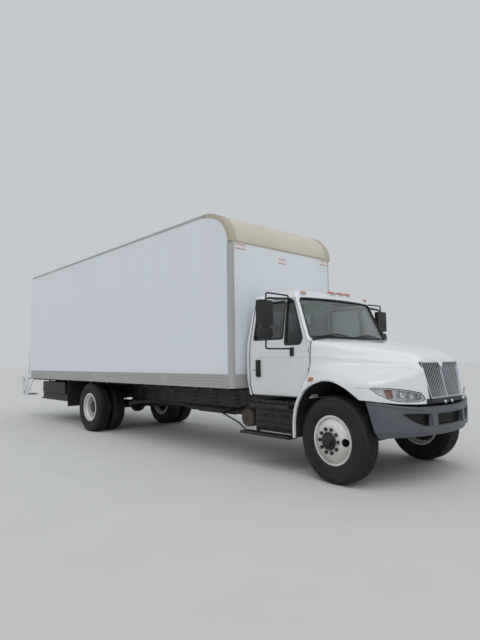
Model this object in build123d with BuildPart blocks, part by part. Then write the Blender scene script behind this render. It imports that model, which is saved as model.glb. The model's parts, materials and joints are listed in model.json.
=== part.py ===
from build123d import *
import os
from math import cos, pi, radians, sin

# A conventional-cab box truck on its wheels, in millimetres.
# The front faces -Y, +X is the truck's left, +Z is up, and the tyres stand on z = 0.
# Stations are distances behind the front axle, so one named value holds the origin.

# Driving dimensions
wheelbase = 6470.0
front_overhang = 945.0
rear_reach = 10750.0
tyre_radius = 515.0
tyre_width = 276.0
front_wheel_x = 1030.0
dual_outer_x = 1083.0
dual_inner_x = 740.0
rest_steer = 5.2
king_pin_x = 880.0
running_fit = 0.05
seat_gap = 0.3
glass_fit = 0.3

frame_half = 432.0
frame_top = 960.0
frame_depth = 260.0
frame_flange = 80.0
frame_web = 9.0
frame_front = -700.0
frame_rear = 10050.0

cab_bottom = 985.0
cab_wall = 45.0
cab_floor_top = 1035.0
door_gap = 8.0
door_swing_gap = 17.0
door_hinge = (978.0, 482.0)
engine_half = 330.0

box_half = 1219.0
box_front = 1763.0
box_rear = 10120.0
box_bottom = 1075.0
box_top = 3830.0
box_wall = 25.0
rail_height = 210.0
deck_top = 1165.0
nose_height = 530.0
nose_depth = 630.0

pillar_inner = 770.0
pillar_outer = 924.0
pillar_rear = 530.0
# columns: x, station, height along the mirror's tube
mirror_path = (
    (915.0, 870.0, 2324.0),
    (960.0, 862.0, 2380.0),
    (1390.0, 856.0, 2385.0),
    (1390.0, 871.0, 1640.0),
    (1003.0, 770.0, 1640.0),
)

mirror_x = 1410.0
mirror_station = 870.0
mirror_depth = 62.0
# columns: middle height, width, height, corner radius of a mirror's heads
mirror_heads = ((2117.0, 260.0, 335.0, 30.0), (1840.0, 252.0, 160.0, 62.0))

hood_wall = 22.0
flare_inner = 1005.0
flare_outer = 1165.0
hinge_station = -862.0
hinge_height = 962.0

# Tail lift under the rear, by station and height
lift_pivot = (8950.0, 655.0)
platform_pin = (9850.0, 640.0)
lift_pin_radius = 20.0
lift_tube_half = 560.0
lift_tube_radius = 45.0

front_axle_y = (front_overhang - rear_reach) / 2
rear_axle = wheelbase
wheel_height = tyre_radius

os.makedirs("parts", exist_ok=True)


def side(x):
    """Plane at one x: its first direction is the station, its second the height."""
    return Plane(origin=(x, front_axle_y, 0), x_dir=(0, 1, 0), z_dir=(1, 0, 0))


def across(station):
    """Plane at one station, seen from the front: x and height, with its normal forward."""
    return Plane(origin=(0, front_axle_y + station, 0), x_dir=(1, 0, 0), z_dir=(0, -1, 0))


def level(height):
    """Plane at one height: x and station."""
    return Plane(origin=(0, front_axle_y, height), x_dir=(1, 0, 0), z_dir=(0, 0, 1))


def slab(x, station, height, mode=Mode.ADD):
    """Plain block between two values in each direction."""
    middle_x, middle_station, middle_height = (sum(ends) / 2 for ends in (x, station, height))
    centre = (middle_x, front_axle_y + middle_station, middle_height)
    with Locations(centre):
        Box(x[1] - x[0], station[1] - station[0], height[1] - height[0], mode=mode)


def twin_slab(x, station, height, mode=Mode.ADD):
    """The same block on both sides of the truck."""
    slab(x, station, height, mode)
    slab((-x[1], -x[0]), station, height, mode)


def span(hand, near, far):
    """Two distances from the middle plane as values of x on one side."""
    return (near, far) if hand > 0 else (-far, -near)


def cross_tube(x, station, height, radius, mode=Mode.ADD):
    """Round bar along X between two values of x."""
    with BuildSketch(side(x[0])) as ring:
        with Locations((station, height)):
            Circle(radius)
    extrude(ring.sketch, amount=x[1] - x[0], mode=mode)


def save(part, label):
    """Name a finished piece and write it."""
    part.label = label
    export_step(part, f"parts/{label}.step")


# Ladder frame: two C rails, cross members between their webs, and the ears that carry the hood
front_member = -660.0
cross_member_stations = (front_member, 1320.0, 2400.0, 3400.0, 3850.0, 4900.0, 5900.0, 7000.0, 8000.0, 8950.0,
                         10010.0)
cross_member_width = 60.0
member_half = frame_half - frame_web - seat_gap
frame_bottom = frame_top - frame_depth
member_low = frame_bottom + frame_web + seat_gap
member_high = frame_top - frame_web - seat_gap
ear_x = 368.0
ear_thickness = 12.0
ear_radius = 22.0
hinge_pin_radius = 9.0
cab_mounts = (600.0, 1580.0)
cab_mount_half = 40.0
engine_mount = ((-20.0, 80.0), (800.0, 860.0))
# long box of the lift's pump and batteries: outer x, stations, heights
pump_box = (1080.0, (8090.0, 9500.0), (720.0, 1000.0))
with BuildPart() as frame_rails:
    with BuildSketch(across(frame_rear)) as channel:
        for hand in (1, -1):
            with Locations((hand * (frame_half - frame_flange / 2), frame_top - frame_depth / 2)):
                Rectangle(frame_flange, frame_depth)
            with Locations((hand * (frame_half - frame_web - frame_flange / 2), frame_top - frame_depth / 2)):
                Rectangle(frame_flange, frame_depth - 2 * frame_web, mode=Mode.SUBTRACT)
    extrude(amount=frame_rear - frame_front)
    for station in cross_member_stations:
        slab((-member_half, member_half), (station - cross_member_width / 2, station + cross_member_width / 2),
             (member_low, member_high))
    for hand in (1, -1):
        with BuildSketch(side(hand * ear_x)) as ear:
            with BuildLine():
                Polyline((frame_front + 120, frame_top - 20), (frame_front + 120, frame_top - 160),
                         (frame_front - 60, frame_top - 160), (hinge_station, hinge_height - ear_radius),
                         (hinge_station, hinge_height + ear_radius), (frame_front, frame_top - 20), close=True)
            make_face()
            with Locations((hinge_station, hinge_height)):
                Circle(ear_radius)
        extrude(amount=hand * ear_thickness)
        cross_tube(span(hand, ear_x - 30, ear_x + ear_thickness), hinge_station, hinge_height, hinge_pin_radius)
        # pads under the cab, and mounts beside the engine
        for station in cab_mounts:
            slab(span(hand, frame_half - frame_flange, frame_half),
                 (station - cab_mount_half, station + cab_mount_half),
                 (frame_top + seat_gap, cab_bottom - seat_gap))
        slab(span(hand, engine_half + seat_gap, member_half), *engine_mount)
        # brackets of the tail lift, with its pivot pins on one cross tube, and its pump box
        slab(span(hand, 360, 425), (lift_pivot[0] - 60, lift_pivot[0] + 60),
             (lift_pivot[1] - 20, frame_bottom - seat_gap))
        cross_tube(span(hand, lift_tube_half - 60, lift_tube_half + 120), lift_pivot[0], lift_pivot[1],
                   lift_pin_radius)
        slab(span(hand, frame_half + seat_gap, pump_box[0]), *pump_box[1:])
    cross_tube((-lift_tube_half, lift_tube_half), lift_pivot[0], lift_pivot[1], lift_tube_radius)
save(frame_rails.part, "frame_rails")

# Bumper: a swept moulding, its plan given by points and their inward normals
# columns: x, station, normal x, normal station
bumper_plan = (
    (0.0, -945.0, 0.0, 1.0),
    (600.0, -855.0, -0.293, 0.956),
    (850.0, -757.0, -0.45, 0.893),
    (1060.0, -640.0, -0.62, 0.785),
    (1125.0, -565.0, -0.85, 0.527),
    (1150.0, -440.0, -1.0, 0.0),
)
bumper_wall = 45.0
# columns: height, inset of the bumper's face; it tucks in under a crease
bumper_levels = ((590.0, 38.0), (668.0, 0.0), (1015.0, 6.0))


def bumper_point(row, inset, hand=1):
    """A point of the bumper's plan, moved inward by the inset."""
    x, station, normal_x, normal_station = row
    return (hand * (x + normal_x * inset), station + normal_station * inset)


def bumper_section(height, inset, rear):
    """Level outline from the bumper's face back to a straight line."""
    right = [bumper_point(row, inset, 1) for row in bumper_plan]
    left = [bumper_point(row, inset, -1) for row in bumper_plan]
    with BuildSketch(level(height)) as section:
        with BuildLine():
            ThreePointArc(right[1], right[0], left[1])
            ThreePointArc(right[3], right[2], right[1])
            ThreePointArc(left[3], left[2], left[1])
            ThreePointArc(right[5], right[4], right[3])
            ThreePointArc(left[5], left[4], left[3])
            Polyline(right[5], (right[5][0], rear), (left[5][0], rear), left[5])
        make_face()
    return section.sketch


def bumper_form(thickness, rear, overrun):
    """Solid behind the bumper's face, moved inward by a thickness."""
    heights = [bumper_levels[0][0] - overrun, bumper_levels[1][0], bumper_levels[2][0] + overrun]
    sections = [bumper_section(height, row[1] + thickness, rear) for row, height in zip(bumper_levels, heights)]
    return loft(sections, ruled=True, mode=Mode.PRIVATE)


with BuildPart() as front_bumper:
    add(bumper_form(0, -430, 0))
    add(bumper_form(bumper_wall, -300, 10), mode=Mode.SUBTRACT)
    # the top edge rises towards the ends
    with BuildSketch(across(-300)):
        with BuildLine():
            ThreePointArc((-600, 925), (0, 917), (600, 925))
            Polyline((600, 925), (880, 950), (1200, 1010), (1200, 1100), (-1200, 1100), (-1200, 1010),
                     (-880, 950), (-600, 925))
        make_face()
    extrude(amount=700, mode=Mode.SUBTRACT)
    # the ends slope back from the bottom to the top
    with BuildSketch(side(-1300)):
        with BuildLine():
            Polyline((-590, 560), (-455, 1040), (-300, 1040), (-300, 560), close=True)
        make_face()
    extrude(amount=2600, mode=Mode.SUBTRACT)
    # air openings: one in the middle and one tapering to each end
    with BuildSketch(across(-600)):
        with Locations((0, 770)):
            Rectangle(670, 145)
        for hand in (1, -1):
            with BuildLine():
                Polyline((hand * 870, 862), (hand * 790, 866), (hand * 430, 843), (hand * 430, 695))
                ThreePointArc((hand * 430, 695), (hand * 690, 750), (hand * 870, 862))
            make_face()
    extrude(amount=400, mode=Mode.SUBTRACT)
    # two brackets to the frame rails
    for hand in (1, -1):
        slab(span(hand, frame_half - 25, frame_half), (-875, frame_front - seat_gap), (855, 905))
save(front_bumper.part, "front_bumper")

# Engine and gearbox as one plain block, and the radiator
with BuildPart() as engine_block:
    slab((-engine_half, engine_half), (-400, 380), (640, 1340))
    slab((-210, 210), (380, 1180), (640, 950))
save(engine_block.part, "engine_block")

with BuildPart() as radiator:
    slab((-420, 420), (-690, -560), (frame_top + seat_gap, 1400))
save(radiator.part, "radiator")

# Front axle: an I-beam with king pin eyes, and its two leaf springs
spring_x = 395.0
spring_width = 76.0
with BuildPart() as front_axle:
    with BuildSketch(side(-king_pin_x + 60)) as beam:
        with Locations((0, 455)):
            Rectangle(90, 90)
        for hand in (1, -1):
            with Locations((hand * 35, 455)):
                Rectangle(50, 50, mode=Mode.SUBTRACT)
    extrude(amount=2 * (king_pin_x - 60))
    for hand in (1, -1):
        with BuildSketch(level(455)):
            with Locations((hand * king_pin_x, 0)):
                Circle(45)
            with Locations((hand * (king_pin_x - 40), 0)):
                Rectangle(80, 60)
        extrude(amount=120)
        with BuildSketch(level(410)):
            with Locations((hand * (king_pin_x - 80), 0)):
                Rectangle(60, 90)
        extrude(amount=165)
    with BuildSketch(level(450)):
        for hand in (1, -1):
            with Locations((hand * king_pin_x, 0)):
                Circle(18 + running_fit)
    extrude(amount=140, mode=Mode.SUBTRACT)
    for hand in (1, -1):
        with BuildSketch(side(hand * spring_x - spring_width / 2)):
            with BuildLine():
                ThreePointArc((-620, 690), (0, 560), (640, 690))
                Line((640, 690), (640, 660))
                Polyline((640, 660), (300, 540), (60, 500), (-60, 500), (-300, 540), (-620, 660))
                Line((-620, 660), (-620, 690))
            make_face()
        extrude(amount=spring_width)
        for ends in ((-640, -590), (600, 660)):
            slab((hand * spring_x - spring_width / 2, hand * spring_x + spring_width / 2), ends,
                 (655, frame_bottom - seat_gap))
save(front_axle.part, "front_axle")

# Rear axle: banjo housing, drive shaft and leaf springs
spindle_radius = 45.0
shaft_height = 650.0
shaft_radius = 45.0
shaft_joint = 3850.0
with BuildPart() as rear_axle_unit:
    cross_tube((-640, 640), rear_axle, wheel_height, 72)
    cross_tube((-1060, 1060), rear_axle, wheel_height, spindle_radius)
    with BuildSketch(side(0)) as bowl:
        with BuildLine():
            Polyline((rear_axle - 235, wheel_height), (rear_axle - 235, wheel_height + 70),
                     (rear_axle - 120, wheel_height + 120))
            Polyline((rear_axle - 120, wheel_height + 120), (rear_axle - 50, wheel_height + 172),
                     (rear_axle + 45, wheel_height + 182), (rear_axle + 125, wheel_height + 130),
                     (rear_axle + 165, wheel_height + 50), (rear_axle + 165, wheel_height),
                     (rear_axle - 235, wheel_height))
        make_face()
    revolve(axis=Axis((0, front_axle_y + rear_axle, wheel_height), (0, 1, 0)))
    with BuildSketch(across(1180 + seat_gap)) as shaft:
        with Locations((0, shaft_height)):
            Circle(shaft_radius)
    extrude(amount=-(shaft_joint - 1180))
    shaft_fall = (shaft_height - wheel_height) / (rear_axle - 230 - shaft_joint)
    joint_centre = (0, front_axle_y + shaft_joint, shaft_height)
    with BuildSketch(Plane(origin=joint_centre, x_dir=(1, 0, 0), z_dir=(0, 1, -shaft_fall))) as tail:
        Circle(shaft_radius)
    extrude(amount=rear_axle - 200 - shaft_joint)
    # bearing of the shaft, hung from a cross member
    slab((-80, 80), (shaft_joint - 25, shaft_joint + 25), (shaft_height - 65, member_low - seat_gap))
    for hand in (1, -1):
        with BuildSketch(side(hand * spring_x - spring_width / 2)):
            with BuildLine():
                ThreePointArc((rear_axle - 750, 690), (rear_axle, 640), (rear_axle + 750, 690))
                Line((rear_axle + 750, 690), (rear_axle + 750, 665))
                Polyline((rear_axle + 750, 665), (rear_axle + 400, 610), (rear_axle + 80, 575),
                         (rear_axle - 80, 575), (rear_axle - 400, 610), (rear_axle - 750, 665))
                Line((rear_axle - 750, 665), (rear_axle - 750, 690))
            make_face()
        extrude(amount=spring_width)
        for end in (-1, 1):
            slab((hand * spring_x - spring_width / 2, hand * spring_x + spring_width / 2),
                 (rear_axle + end * 735 - 35, rear_axle + end * 735 + 35), (660, frame_bottom - seat_gap))
save(rear_axle_unit.part, "rear_axle")


def wheel_plane(x, station, steer):
    """Plane through a wheel's axis: first direction outward along the axis, second up."""
    hand = 1 if x > 0 else -1
    turn = radians(-steer)
    outward = Vector(hand * cos(turn), hand * sin(turn), 0)
    pin = Vector(hand * king_pin_x, front_axle_y + station, wheel_height)
    centre = pin + outward * (abs(x) - king_pin_x)
    return Plane(origin=centre, x_dir=outward, z_dir=outward.cross(Vector(0, 0, 1)))


def axle_line(place):
    """Axis of a wheel plane."""
    return Axis(place.origin, place.x_dir)


# Tyre and rim sections, given by distance outward from the rim's middle and by radius
rim_flange_radius = 298.0
bead_radius = 284.0
rim_half = 116.0
bead_half = 101.0


def tyre_section(middle):
    """Closed outline of one tyre around a middle plane."""
    half = tyre_width / 2
    with BuildLine() as path:
        for hand in (1, -1):
            Polyline(*[(middle + hand * out, radius) for out, radius in (
                (0, bead_radius + seat_gap), (bead_half, bead_radius + seat_gap),
                (bead_half, rim_flange_radius + 6), (half - 8, rim_flange_radius + 45), (half, 400),
                (half - 5, tyre_radius - 60), (half - 20, tyre_radius - 14), (half - 38, tyre_radius),
                (0, tyre_radius))])
    make_face(path.line)


def rim_section(middle, disc_side, disc_face, hub_radius):
    """Closed outline of one steel rim with its disc, from the barrel down to the hub hole."""
    lip = rim_half
    sign = disc_side
    with BuildLine() as path:
        Polyline((middle - sign * lip, rim_flange_radius), (middle - sign * (lip - 12), rim_flange_radius),
                 (middle - sign * (lip - 14), bead_radius), (middle - sign * 60, bead_radius - 4),
                 (middle - sign * 45, 250), (middle + sign * 30, 250), (middle + sign * 60, bead_radius - 4),
                 (middle + sign * (lip - 14), bead_radius), (middle + sign * (lip - 12), rim_flange_radius),
                 (middle + sign * lip, rim_flange_radius), (middle + sign * lip, bead_radius - 12),
                 (middle + sign * 78, bead_radius - 16), (disc_face, 185), (disc_face, hub_radius),
                 (disc_face - sign * 13, hub_radius), (disc_face - sign * 13, 180),
                 (middle + sign * 52, 236), (middle - sign * 52, 236), (middle - sign * 70, bead_radius - 16),
                 (middle - sign * lip, bead_radius - 12), close=True)
    make_face(path.line)


front_disc_face = 165.0
hub_bore = 35.0
nut_circle = 142.875
nut_count = 10
hand_hole_circle = 222.0
for name, x in (("left", front_wheel_x), ("right", -front_wheel_x)):
    place = wheel_plane(x, 0, rest_steer)
    with BuildPart() as front_tyre:
        with BuildSketch(place) as section:
            tyre_section(0)
        revolve(axis=axle_line(place))
    save(front_tyre.part, f"front_tyre_{name}")
    with BuildPart() as front_rim:
        with BuildSketch(place) as section:
            rim_section(0, 1, front_disc_face, 60)
        revolve(axis=axle_line(place))
        # hub with its drum, in one with the disc
        with BuildSketch(place) as hub:
            with BuildLine():
                Polyline((60, hub_bore + running_fit), (60, 75), (front_disc_face - 13, 105),
                         (front_disc_face + 18, 105), (front_disc_face + 24, 98), (front_disc_face + 24, 66),
                         (front_disc_face + 62, 58), (front_disc_face + 62, hub_bore + running_fit), close=True)
            make_face()
        revolve(axis=axle_line(place))
        with BuildSketch(place) as drum:
            with BuildLine():
                Polyline((-95, 185), (-95, 205), (60, 205), (front_disc_face - 7, 175),
                         (front_disc_face - 7, 112), (front_disc_face - 25, 112), (60, 170), (50, 185),
                         close=True)
            make_face()
        revolve(axis=axle_line(place))
        face_plane = Plane(origin=place.origin + place.x_dir * front_disc_face, x_dir=(0, 0, 1),
                           z_dir=place.x_dir)
        with BuildSketch(face_plane.offset(30)) as cap:
            Circle(58)
        extrude(amount=34)
        with BuildSketch(face_plane) as nuts:
            with PolarLocations(nut_circle, nut_count):
                RegularPolygon(16, 6)
        extrude(amount=22)
        with BuildSketch(face_plane) as hand_holes:
            with Locations((0, hand_hole_circle), (0, -hand_hole_circle)):
                Circle(30)
        extrude(amount=-75, mode=Mode.SUBTRACT)
    save(front_rim.part, f"front_rim_{name}")

    # Knuckle: king pin, yoke, spindle and steering arm
    hand = 1 if x > 0 else -1
    pin_plane = Plane(origin=(hand * king_pin_x, front_axle_y, 0), x_dir=place.x_dir, z_dir=(0, 0, 1))
    with BuildPart() as knuckle:
        with BuildSketch(pin_plane.offset(385)) as king_pin:
            Circle(18)
        extrude(amount=245)
        for low, high in ((385, 450), (580, 630)):
            with BuildSketch(pin_plane.offset(low)) as yoke:
                Circle(38)
                with Locations((40, 0)):
                    Rectangle(80, 70)
            extrude(amount=high - low)
        with BuildSketch(pin_plane.offset(385)) as web:
            with Locations((66, 0)):
                Rectangle(28, 90)
        extrude(amount=245)
        spindle_plane = Plane(origin=place.origin - place.x_dir * (front_wheel_x - king_pin_x - 60),
                              z_dir=place.x_dir)
        with BuildSketch(spindle_plane) as spindle:
            Circle(hub_bore)
        extrude(amount=front_disc_face + 75)
        with BuildSketch(pin_plane.offset(385)) as arm:
            with BuildLine():
                Polyline((-20, hand * 30), (-110, hand * 190), (-70, hand * 205), (40, hand * 30), close=True)
            make_face()
        extrude(amount=18)
    save(knuckle.part, f"knuckle_{name}")

dual_disc_x = (dual_inner_x + dual_outer_x) / 2
for name, hand in (("left", 1), ("right", -1)):
    place = Plane(origin=(0, front_axle_y + rear_axle, wheel_height), x_dir=(hand, 0, 0),
                  z_dir=Vector(hand, 0, 0).cross(Vector(0, 0, 1)))
    with BuildPart() as rear_tyres:
        with BuildSketch(place) as section:
            tyre_section(dual_outer_x)
            tyre_section(dual_inner_x)
        revolve(axis=axle_line(place))
    save(rear_tyres.part, f"rear_tyres_{name}")
    with BuildPart() as rear_rims:
        with BuildSketch(place) as section:
            rim_section(dual_outer_x, -1, dual_disc_x, 60)
            rim_section(dual_inner_x, 1, dual_disc_x, 60)
        revolve(axis=axle_line(place))
        with BuildSketch(place) as hub:
            with BuildLine():
                Polyline((dual_disc_x - 230, spindle_radius + running_fit), (dual_disc_x - 230, 80),
                         (dual_disc_x - 13, 110), (dual_disc_x + 13, 110), (dual_disc_x + 40, 110),
                         (dual_disc_x + 190, 95), (dual_disc_x + 225, 80), (dual_disc_x + 225, 0),
                         (1070, 0), (1070, spindle_radius + running_fit), close=True)
            make_face()
            with BuildLine():
                Polyline((dual_disc_x - 245, 195), (dual_disc_x - 245, 215), (dual_disc_x - 40, 215),
                         (dual_disc_x - 13, 180), (dual_disc_x - 13, 100), (dual_disc_x - 30, 100),
                         (dual_disc_x - 60, 195), close=True)
            make_face()
        revolve(axis=axle_line(place))
        nut_plane = Plane(origin=(hand * (dual_disc_x + 13), front_axle_y + rear_axle, wheel_height),
                          x_dir=(0, 0, 1), z_dir=(hand, 0, 0))
        with BuildSketch(nut_plane) as nuts:
            with PolarLocations(nut_circle, nut_count):
                RegularPolygon(16, 6)
        extrude(amount=24)
    save(rear_rims.part, f"rear_rims_{name}")

# Cab: a shell lofted through level outlines, with doors, windows and a rear light cut from it
# columns: height, half width, front station at the side, front station at the centre, rear station
cab_rows = (
    (cab_bottom, 975.0, 478.0, 470.0, 1650.0),
    (1200.0, 983.0, 478.0, 440.0, 1700.0),
    (1540.0, 988.0, 485.0, 400.0, 1700.0),
    (1745.0, 978.0, 500.0, 392.0, 1695.0),
    (2370.0, 890.0, 770.0, 650.0, 1610.0),
    (2440.0, 850.0, 790.0, 668.0, 1590.0),
    (2475.0, 760.0, 900.0, 800.0, 1480.0),
)
# under the waist the doors run on forward, past the rounded corners of the cowl
door_rows = tuple((row[0], row[1], min(row[2], 400.0 if row[0] < 1760 else row[2]), row[3], row[4])
                  for row in cab_rows[:5])
cab_corner = 45.0
cab_inner_heights = (cab_floor_top, 1200.0, 1540.0, 1745.0, 2355.0, 2400.0, 2432.0)


def cab_outline(row, inset, height):
    """Level outline of the cab, moved inward by the inset."""
    _, half, front_side, front_centre, rear = row
    half -= inset
    front_side += inset
    front_centre += inset
    rear -= inset
    with BuildSketch(level(height)) as outline:
        with BuildLine():
            if front_side > front_centre:
                ThreePointArc((-half, front_side), (0, front_centre), (half, front_side))
            else:
                Line((-half, front_side), (half, front_side))
            Polyline((half, front_side), (half, rear), (-half, rear), (-half, front_side))
        make_face()
        fillet(outline.vertices(), cab_corner)
    return outline.sketch


def cab_form(rows, inset, heights=None):
    """Solid through the outlines of some rows, moved inward by the inset."""
    heights = heights or [row[0] for row in rows]
    return loft([cab_outline(row, inset, height) for row, height in zip(rows, heights)], ruled=True,
                mode=Mode.PRIVATE)


with BuildPart() as cab_skin:
    add(cab_form(cab_rows, 0))
    add(cab_form(cab_rows, cab_wall, cab_inner_heights), mode=Mode.SUBTRACT)
with BuildPart() as door_skin:
    add(cab_form(door_rows, 0))
    add(cab_form(door_rows, cab_wall), mode=Mode.SUBTRACT)

# columns: station, height of the corners of a door, from the lower end of its front edge
door_corners = ((478, 1215), (478, 1690), (528, 1753), (790, 2345), (1545, 2345), (1600, 1700), (1605, 1150),
                (1560, 1000), (660, 1005))
door_gaps = ((-door_gap, -door_gap / 2), (-door_gap, door_gap / 2), (-door_gap, door_gap * 0.75),
             (-door_gap, door_gap), (door_swing_gap, door_gap), (door_swing_gap, 0),
             (door_swing_gap, -door_gap / 2), (door_swing_gap, -door_gap), (-door_gap / 2, -door_gap))
door_sill = 1045.0
sill_edge = 925.0
vent_pane = ((640, 1700), (915, 1700), (925, 2315), (805, 2315), (598, 1775))
main_pane = ((955, 1785), (1535, 1785), (1500, 2320), (955, 2320))
pane_corner = 22.0
hinge_heights = (1300.0, 1560.0)
hinge_length = 80.0
hinge_pin = 5.0

# windscreen opening in front view: half width and height at its base and its head; rear window
screen_corners = ((925, 1775), (845, 2350))
screen_corner = 50.0
rear_light = (960.0, 330.0, 2080.0)


def screen_outline(shrink):
    """Windscreen opening in front view."""
    (low_half, low), (high_half, high) = screen_corners
    with BuildSketch(across(900)) as screen:
        with BuildLine():
            Polyline((-low_half + shrink, low + shrink), (low_half - shrink, low + shrink),
                     (high_half - shrink, high - shrink), (-high_half + shrink, high - shrink), close=True)
        make_face()
        fillet(screen.vertices(), screen_corner)
    return screen.sketch


def rear_light_outline(shrink):
    """Opening of the window in the cab's rear wall."""
    width, height, middle = rear_light
    with BuildSketch(across(1800)) as light:
        with Locations((0, middle)):
            RectangleRounded(width - 2 * shrink, height - 2 * shrink, screen_corner)
    return light.sketch


def pane_outlines(x, shrink):
    """The two side panes, in the plane at one x."""
    with BuildSketch(side(x)) as panes:
        for corners in (vent_pane, main_pane):
            with BuildLine():
                Polyline(*corners, close=True)
            make_face()
        fillet(panes.vertices(), pane_corner)
        if shrink:
            offset(amount=-shrink, mode=Mode.REPLACE)
    return panes.sketch


def doorway(x, low):
    """Opening for one door, in the plane at one x, down to a height."""
    with BuildSketch(side(x)) as opening:
        with BuildLine():
            Polyline(*[(station + grow[0], height + grow[1] if height > door_sill else low)
                       for (station, height), grow in zip(door_corners, door_gaps)], close=True)
        make_face()
    return opening.sketch


with BuildPart() as cab_body:
    add(cab_skin.part)
    # the door covers the sill, so the opening is lower outside it
    for start, far, low in ((780, 1080, door_sill), (sill_edge, 1080, cab_bottom - door_gap)):
        extrude(doorway(start, low), amount=far - start, mode=Mode.SUBTRACT)
        extrude(doorway(-far, low), amount=far - start, mode=Mode.SUBTRACT)
    extrude(screen_outline(0), amount=700, mode=Mode.SUBTRACT)
    extrude(rear_light_outline(0), amount=300, mode=Mode.SUBTRACT)
    for hand in (1, -1):
        # pillar inside each door's front edge, with the fixed leaves and pins of its hinges
        slab(span(hand, pillar_inner, pillar_outer), (474, pillar_rear), (cab_bottom + 15, 1700))
        for low in hinge_heights:
            slab(span(hand, pillar_outer - 6, door_hinge[0]), (door_hinge[1] - 5, door_hinge[1] + 5),
                 (low + 2, low + hinge_length - 2))
            with Locations((hand * door_hinge[0], front_axle_y + door_hinge[1], low + hinge_length / 2)):
                Cylinder(hinge_pin, hinge_length + 30)
                Cylinder(hinge_pin + 2, hinge_length - 4)
save(cab_body.part, "cab_body")

with BuildPart() as cab_glass:
    add(cab_form(cab_rows[3:5], 12))
    add(cab_form(cab_rows[3:5], 18), mode=Mode.SUBTRACT)
    with BuildPart(mode=Mode.PRIVATE) as openings:
        extrude(screen_outline(glass_fit), amount=700)
        extrude(rear_light_outline(glass_fit), amount=300)
    add(openings.part, mode=Mode.INTERSECT)
save(cab_glass.part, "cab_glass")

handle_out = 1030.0
for name, hand in (("left", 1), ("right", -1)):
    near = 780 if hand > 0 else -1080
    with BuildPart() as door:
        add(door_skin.part)
        with BuildSketch(side(near)) as panel:
            with BuildLine():
                Polyline(*door_corners, close=True)
            make_face()
        extrude(amount=300, mode=Mode.INTERSECT)
        extrude(pane_outlines(near, 0), amount=300, mode=Mode.SUBTRACT)
        # pockets and bores of the hinges
        for low in hinge_heights:
            slab(span(hand, pillar_outer, door_hinge[0] + 8), (470, door_hinge[1] + 20),
                 (low, low + hinge_length), mode=Mode.SUBTRACT)
            with Locations((hand * door_hinge[0], front_axle_y + door_hinge[1], low + hinge_length / 2)):
                Cylinder(hinge_pin + running_fit, hinge_length + 40, mode=Mode.SUBTRACT)
        # pull handle, standing off the skin on two feet
        slab(span(hand, handle_out - 22, handle_out), (1398, 1440), (1250, 1490))
        for low in (1250, 1455):
            slab(span(hand, 975, handle_out - 20), (1398, 1440), (low, low + 35))
    save(door.part, f"door_{name}")
    with BuildPart() as door_glass:
        add(cab_form(door_rows[2:5], 18))
        add(cab_form(door_rows[2:5], 23), mode=Mode.SUBTRACT)
        extrude(pane_outlines(near, glass_fit), amount=300, mode=Mode.INTERSECT)
    save(door_glass.part, f"door_glass_{name}")

    # Mirror: a loop of tube from the door's top to its waist, carrying a flat and a convex head
    with BuildPart() as mirror:
        path_points = [(hand * x, front_axle_y + station, height) for x, station, height in mirror_path]
        with BuildLine() as loop:
            FilletPolyline(*path_points, radius=30)
        with BuildSketch(Plane(origin=path_points[0], z_dir=loop.line % 0)) as tube:
            Circle(11)
        sweep(path=loop.line)
        for middle, width, height, corner in mirror_heads:
            with BuildSketch(across(mirror_station + mirror_depth / 2)) as head:
                with Locations((hand * mirror_x, middle)):
                    RectangleRounded(width, height, corner)
            extrude(amount=mirror_depth)
        # feet on the door's skin
        slab(span(hand, 860, 925), (835, 905), (2306, 2340))
        slab(span(hand, 960, 1012), (745, 795), (1545, 1655))
        add(cab_form(door_rows, -seat_gap), mode=Mode.SUBTRACT)
    save(mirror.part, f"mirror_{name}")

# Inside the cab: fascia with the column's shroud, steering wheel and two seats
steer_tilt = 50.0
column_x = 480.0
column_station = 890.0
column_height = 1625.0
column_radius = 22.0
steering_radius = 215.0
column_way = Vector(0, cos(radians(steer_tilt)), sin(radians(steer_tilt)))
steering_plane = Plane(origin=(column_x, front_axle_y + column_station, column_height), x_dir=(1, 0, 0),
                       z_dir=column_way)
with BuildPart() as dashboard:
    slab((-765, 765), (430, pillar_rear + 10), (1690, 1712))
    add(cab_form(cab_rows, cab_wall + seat_gap, cab_inner_heights), mode=Mode.INTERSECT)
    with BuildSketch(side(-880)) as fascia:
        with BuildLine():
            Polyline((pillar_rear + seat_gap, 1200), (640, 1300), (720, 1480), (760, 1620), (700, 1700),
                     (560, 1712), (pillar_rear + seat_gap, 1712), close=True)
        make_face()
    extrude(amount=1760)
    with BuildSketch(steering_plane.offset(-320)) as shroud:
        Circle(42)
    extrude(amount=190)
    with BuildSketch(steering_plane.offset(-230)) as bore:
        Circle(column_radius + running_fit)
    extrude(amount=110, mode=Mode.SUBTRACT)
save(dashboard.part, "dashboard")

seat_x = 480.0
seat_half = 260.0
# outlines by station and height: each seat's cushion on its base, and its back
seat_base = ((1060, cab_floor_top + seat_gap), (1430, cab_floor_top + seat_gap), (1440, 1300), (1400, 1390),
             (985, 1415), (965, 1290), (1070, 1270))
seat_back = ((1440 + seat_gap, 1300), (1575, 2030), (1505, 2065), (1400 + seat_gap, 1390))
with BuildPart() as seats:
    for hand in (1, -1):
        for corners in (seat_base, seat_back):
            with BuildSketch(side(hand * seat_x - seat_half)) as seat:
                with BuildLine():
                    Polyline(*corners, close=True)
                make_face()
            extrude(amount=2 * seat_half)
save(seats.part, "seats")

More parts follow.
